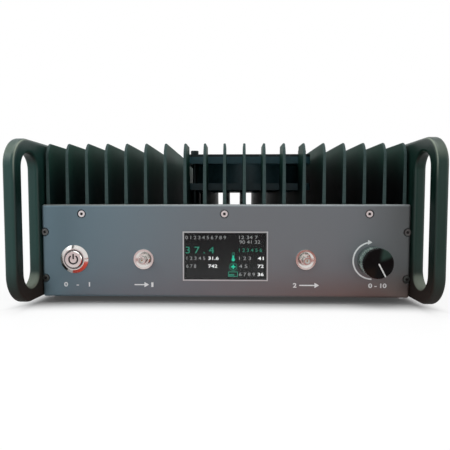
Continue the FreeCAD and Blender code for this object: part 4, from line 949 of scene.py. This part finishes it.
# Two cards lie before the amplifier where only mirroring surfaces see them, like whatever stood
# by in the photograph: the near red one spans the metal of the panel but not the handles, and
# the far one is pale on the left and brown on the right.
red_card = Paint("red_card")
fibre = red_card.noise(30.0, stretch=(0.2, 1.0, 1.0))
red_card.cover({
    "Base Color": red_card.mix(fibre, tone(204, 58, 40), tone(222, 76, 54)),
    "Roughness": 0.6 + 0.2 * fibre,
})
brown_card = Paint("brown_card")
fibre = brown_card.noise(30.0, stretch=(0.2, 1.0, 1.0))
pale_to_brown = (-0.24, 0.08)
[x] = brown_card.axes(brown_card.point, "x")
brown_card.cover({
    "Base Color": brown_card.mix(
        x.rise(*pale_to_brown),
        brown_card.mix(fibre, tone(206, 182, 184), tone(220, 198, 200)),
        brown_card.mix(fibre, tone(138, 52, 34), tone(154, 64, 46)),
    ),
    "Roughness": 0.6 + 0.2 * fibre,
})
card_lift = 2 * mm
for name, paint, card_x, front_y, back_y, width in (
    ("red_card", red_card, 0.0, -0.198, -0.122, 0.30),
    ("brown_card", brown_card, 0.05, -1.20, -0.32, 1.60),
):
    start_shape()
    bpy.ops.mesh.primitive_plane_add(size=1, location=(card_x, (front_y + back_y) / 2, card_lift))
    card = bpy.context.object
    card.name = name
    card.scale = (width, back_y - front_y, 1.0)
    bpy.ops.object.transform_apply(location=True, rotation=True, scale=True)
    card.data.materials.append(paint.material)
    for sight in ("visible_camera", "visible_diffuse", "visible_shadow", "visible_transmission"):
        setattr(card, sight, False)

world = bpy.data.worlds.new("studio")
world.use_nodes = True
bpy.context.scene.world = world
light = world.node_tree
light.nodes.clear()
path = light.nodes.new("ShaderNodeLightPath")
direct = path.outputs["Is Camera Ray"]
for sight in ("Is Glossy Ray", "Is Transmission Ray"):
    either = light.nodes.new("ShaderNodeMath")
    either.operation = "MAXIMUM"
    light.links.new(direct, either.inputs[0])
    light.links.new(path.outputs[sight], either.inputs[1])
    direct = either.outputs[0]
shown = light.nodes.new("ShaderNodeMixShader")
light.links.new(direct, shown.inputs[0])
world_light, world_seen = 0.45, 1.0
for socket, strength in ((1, world_light), (2, world_seen)):
    sky = light.nodes.new("ShaderNodeBackground")
    sky.inputs["Color"].default_value = (1.0, 1.0, 1.0, 1.0)
    sky.inputs["Strength"].default_value = strength
    light.links.new(sky.outputs[0], shown.inputs[socket])
light.links.new(shown.outputs[0], light.nodes.new("ShaderNodeOutputWorld").inputs["Surface"])


def lamp(name, place, aim, size, power, colour):
    """A soft square lamp that looks at a point."""
    start_shape()
    bpy.ops.object.light_add(type="AREA", location=place)
    made = bpy.context.object
    made.name = name
    made.data.size = size
    made.data.energy = power
    made.data.color = colour
    made.rotation_euler = (Vector(aim) - Vector(place)).to_track_quat("-Z", "Y").to_euler()


lamp("top_lamp", (0.0, -0.2, 1.6), (0.0, 0.0, 0.1), 1.4, 14.0, (1.0, 1.0, 1.0))
lamp("left_lamp", (-1.2, -1.1, 0.9), (0.0, -0.1, 0.05), 0.9, 9.0, (0.92, 0.97, 1.0))
lamp("right_lamp", (1.3, -0.8, 0.5), (0.0, -0.1, 0.05), 0.8, 3.5, (1.0, 0.95, 0.92))

# Camera: its lens on a 36 mm sensor, its place, and how far it looks down and to the left.
lens_length = 33.6
camera_place = (9.7 * mm, -487 * mm, 91 * mm)
looks_down = math.radians(3.13)
looks_left = math.radians(1.41)
start_shape()
bpy.ops.object.camera_add(location=camera_place, rotation=(math.pi / 2 - looks_down, 0, looks_left))
camera = bpy.context.object
camera.data.lens = lens_length
camera.data.sensor_width = 36.0
camera.data.clip_start = 0.01
bpy.context.scene.camera = camera
bpy.context.scene.view_settings.view_transform = "Standard"
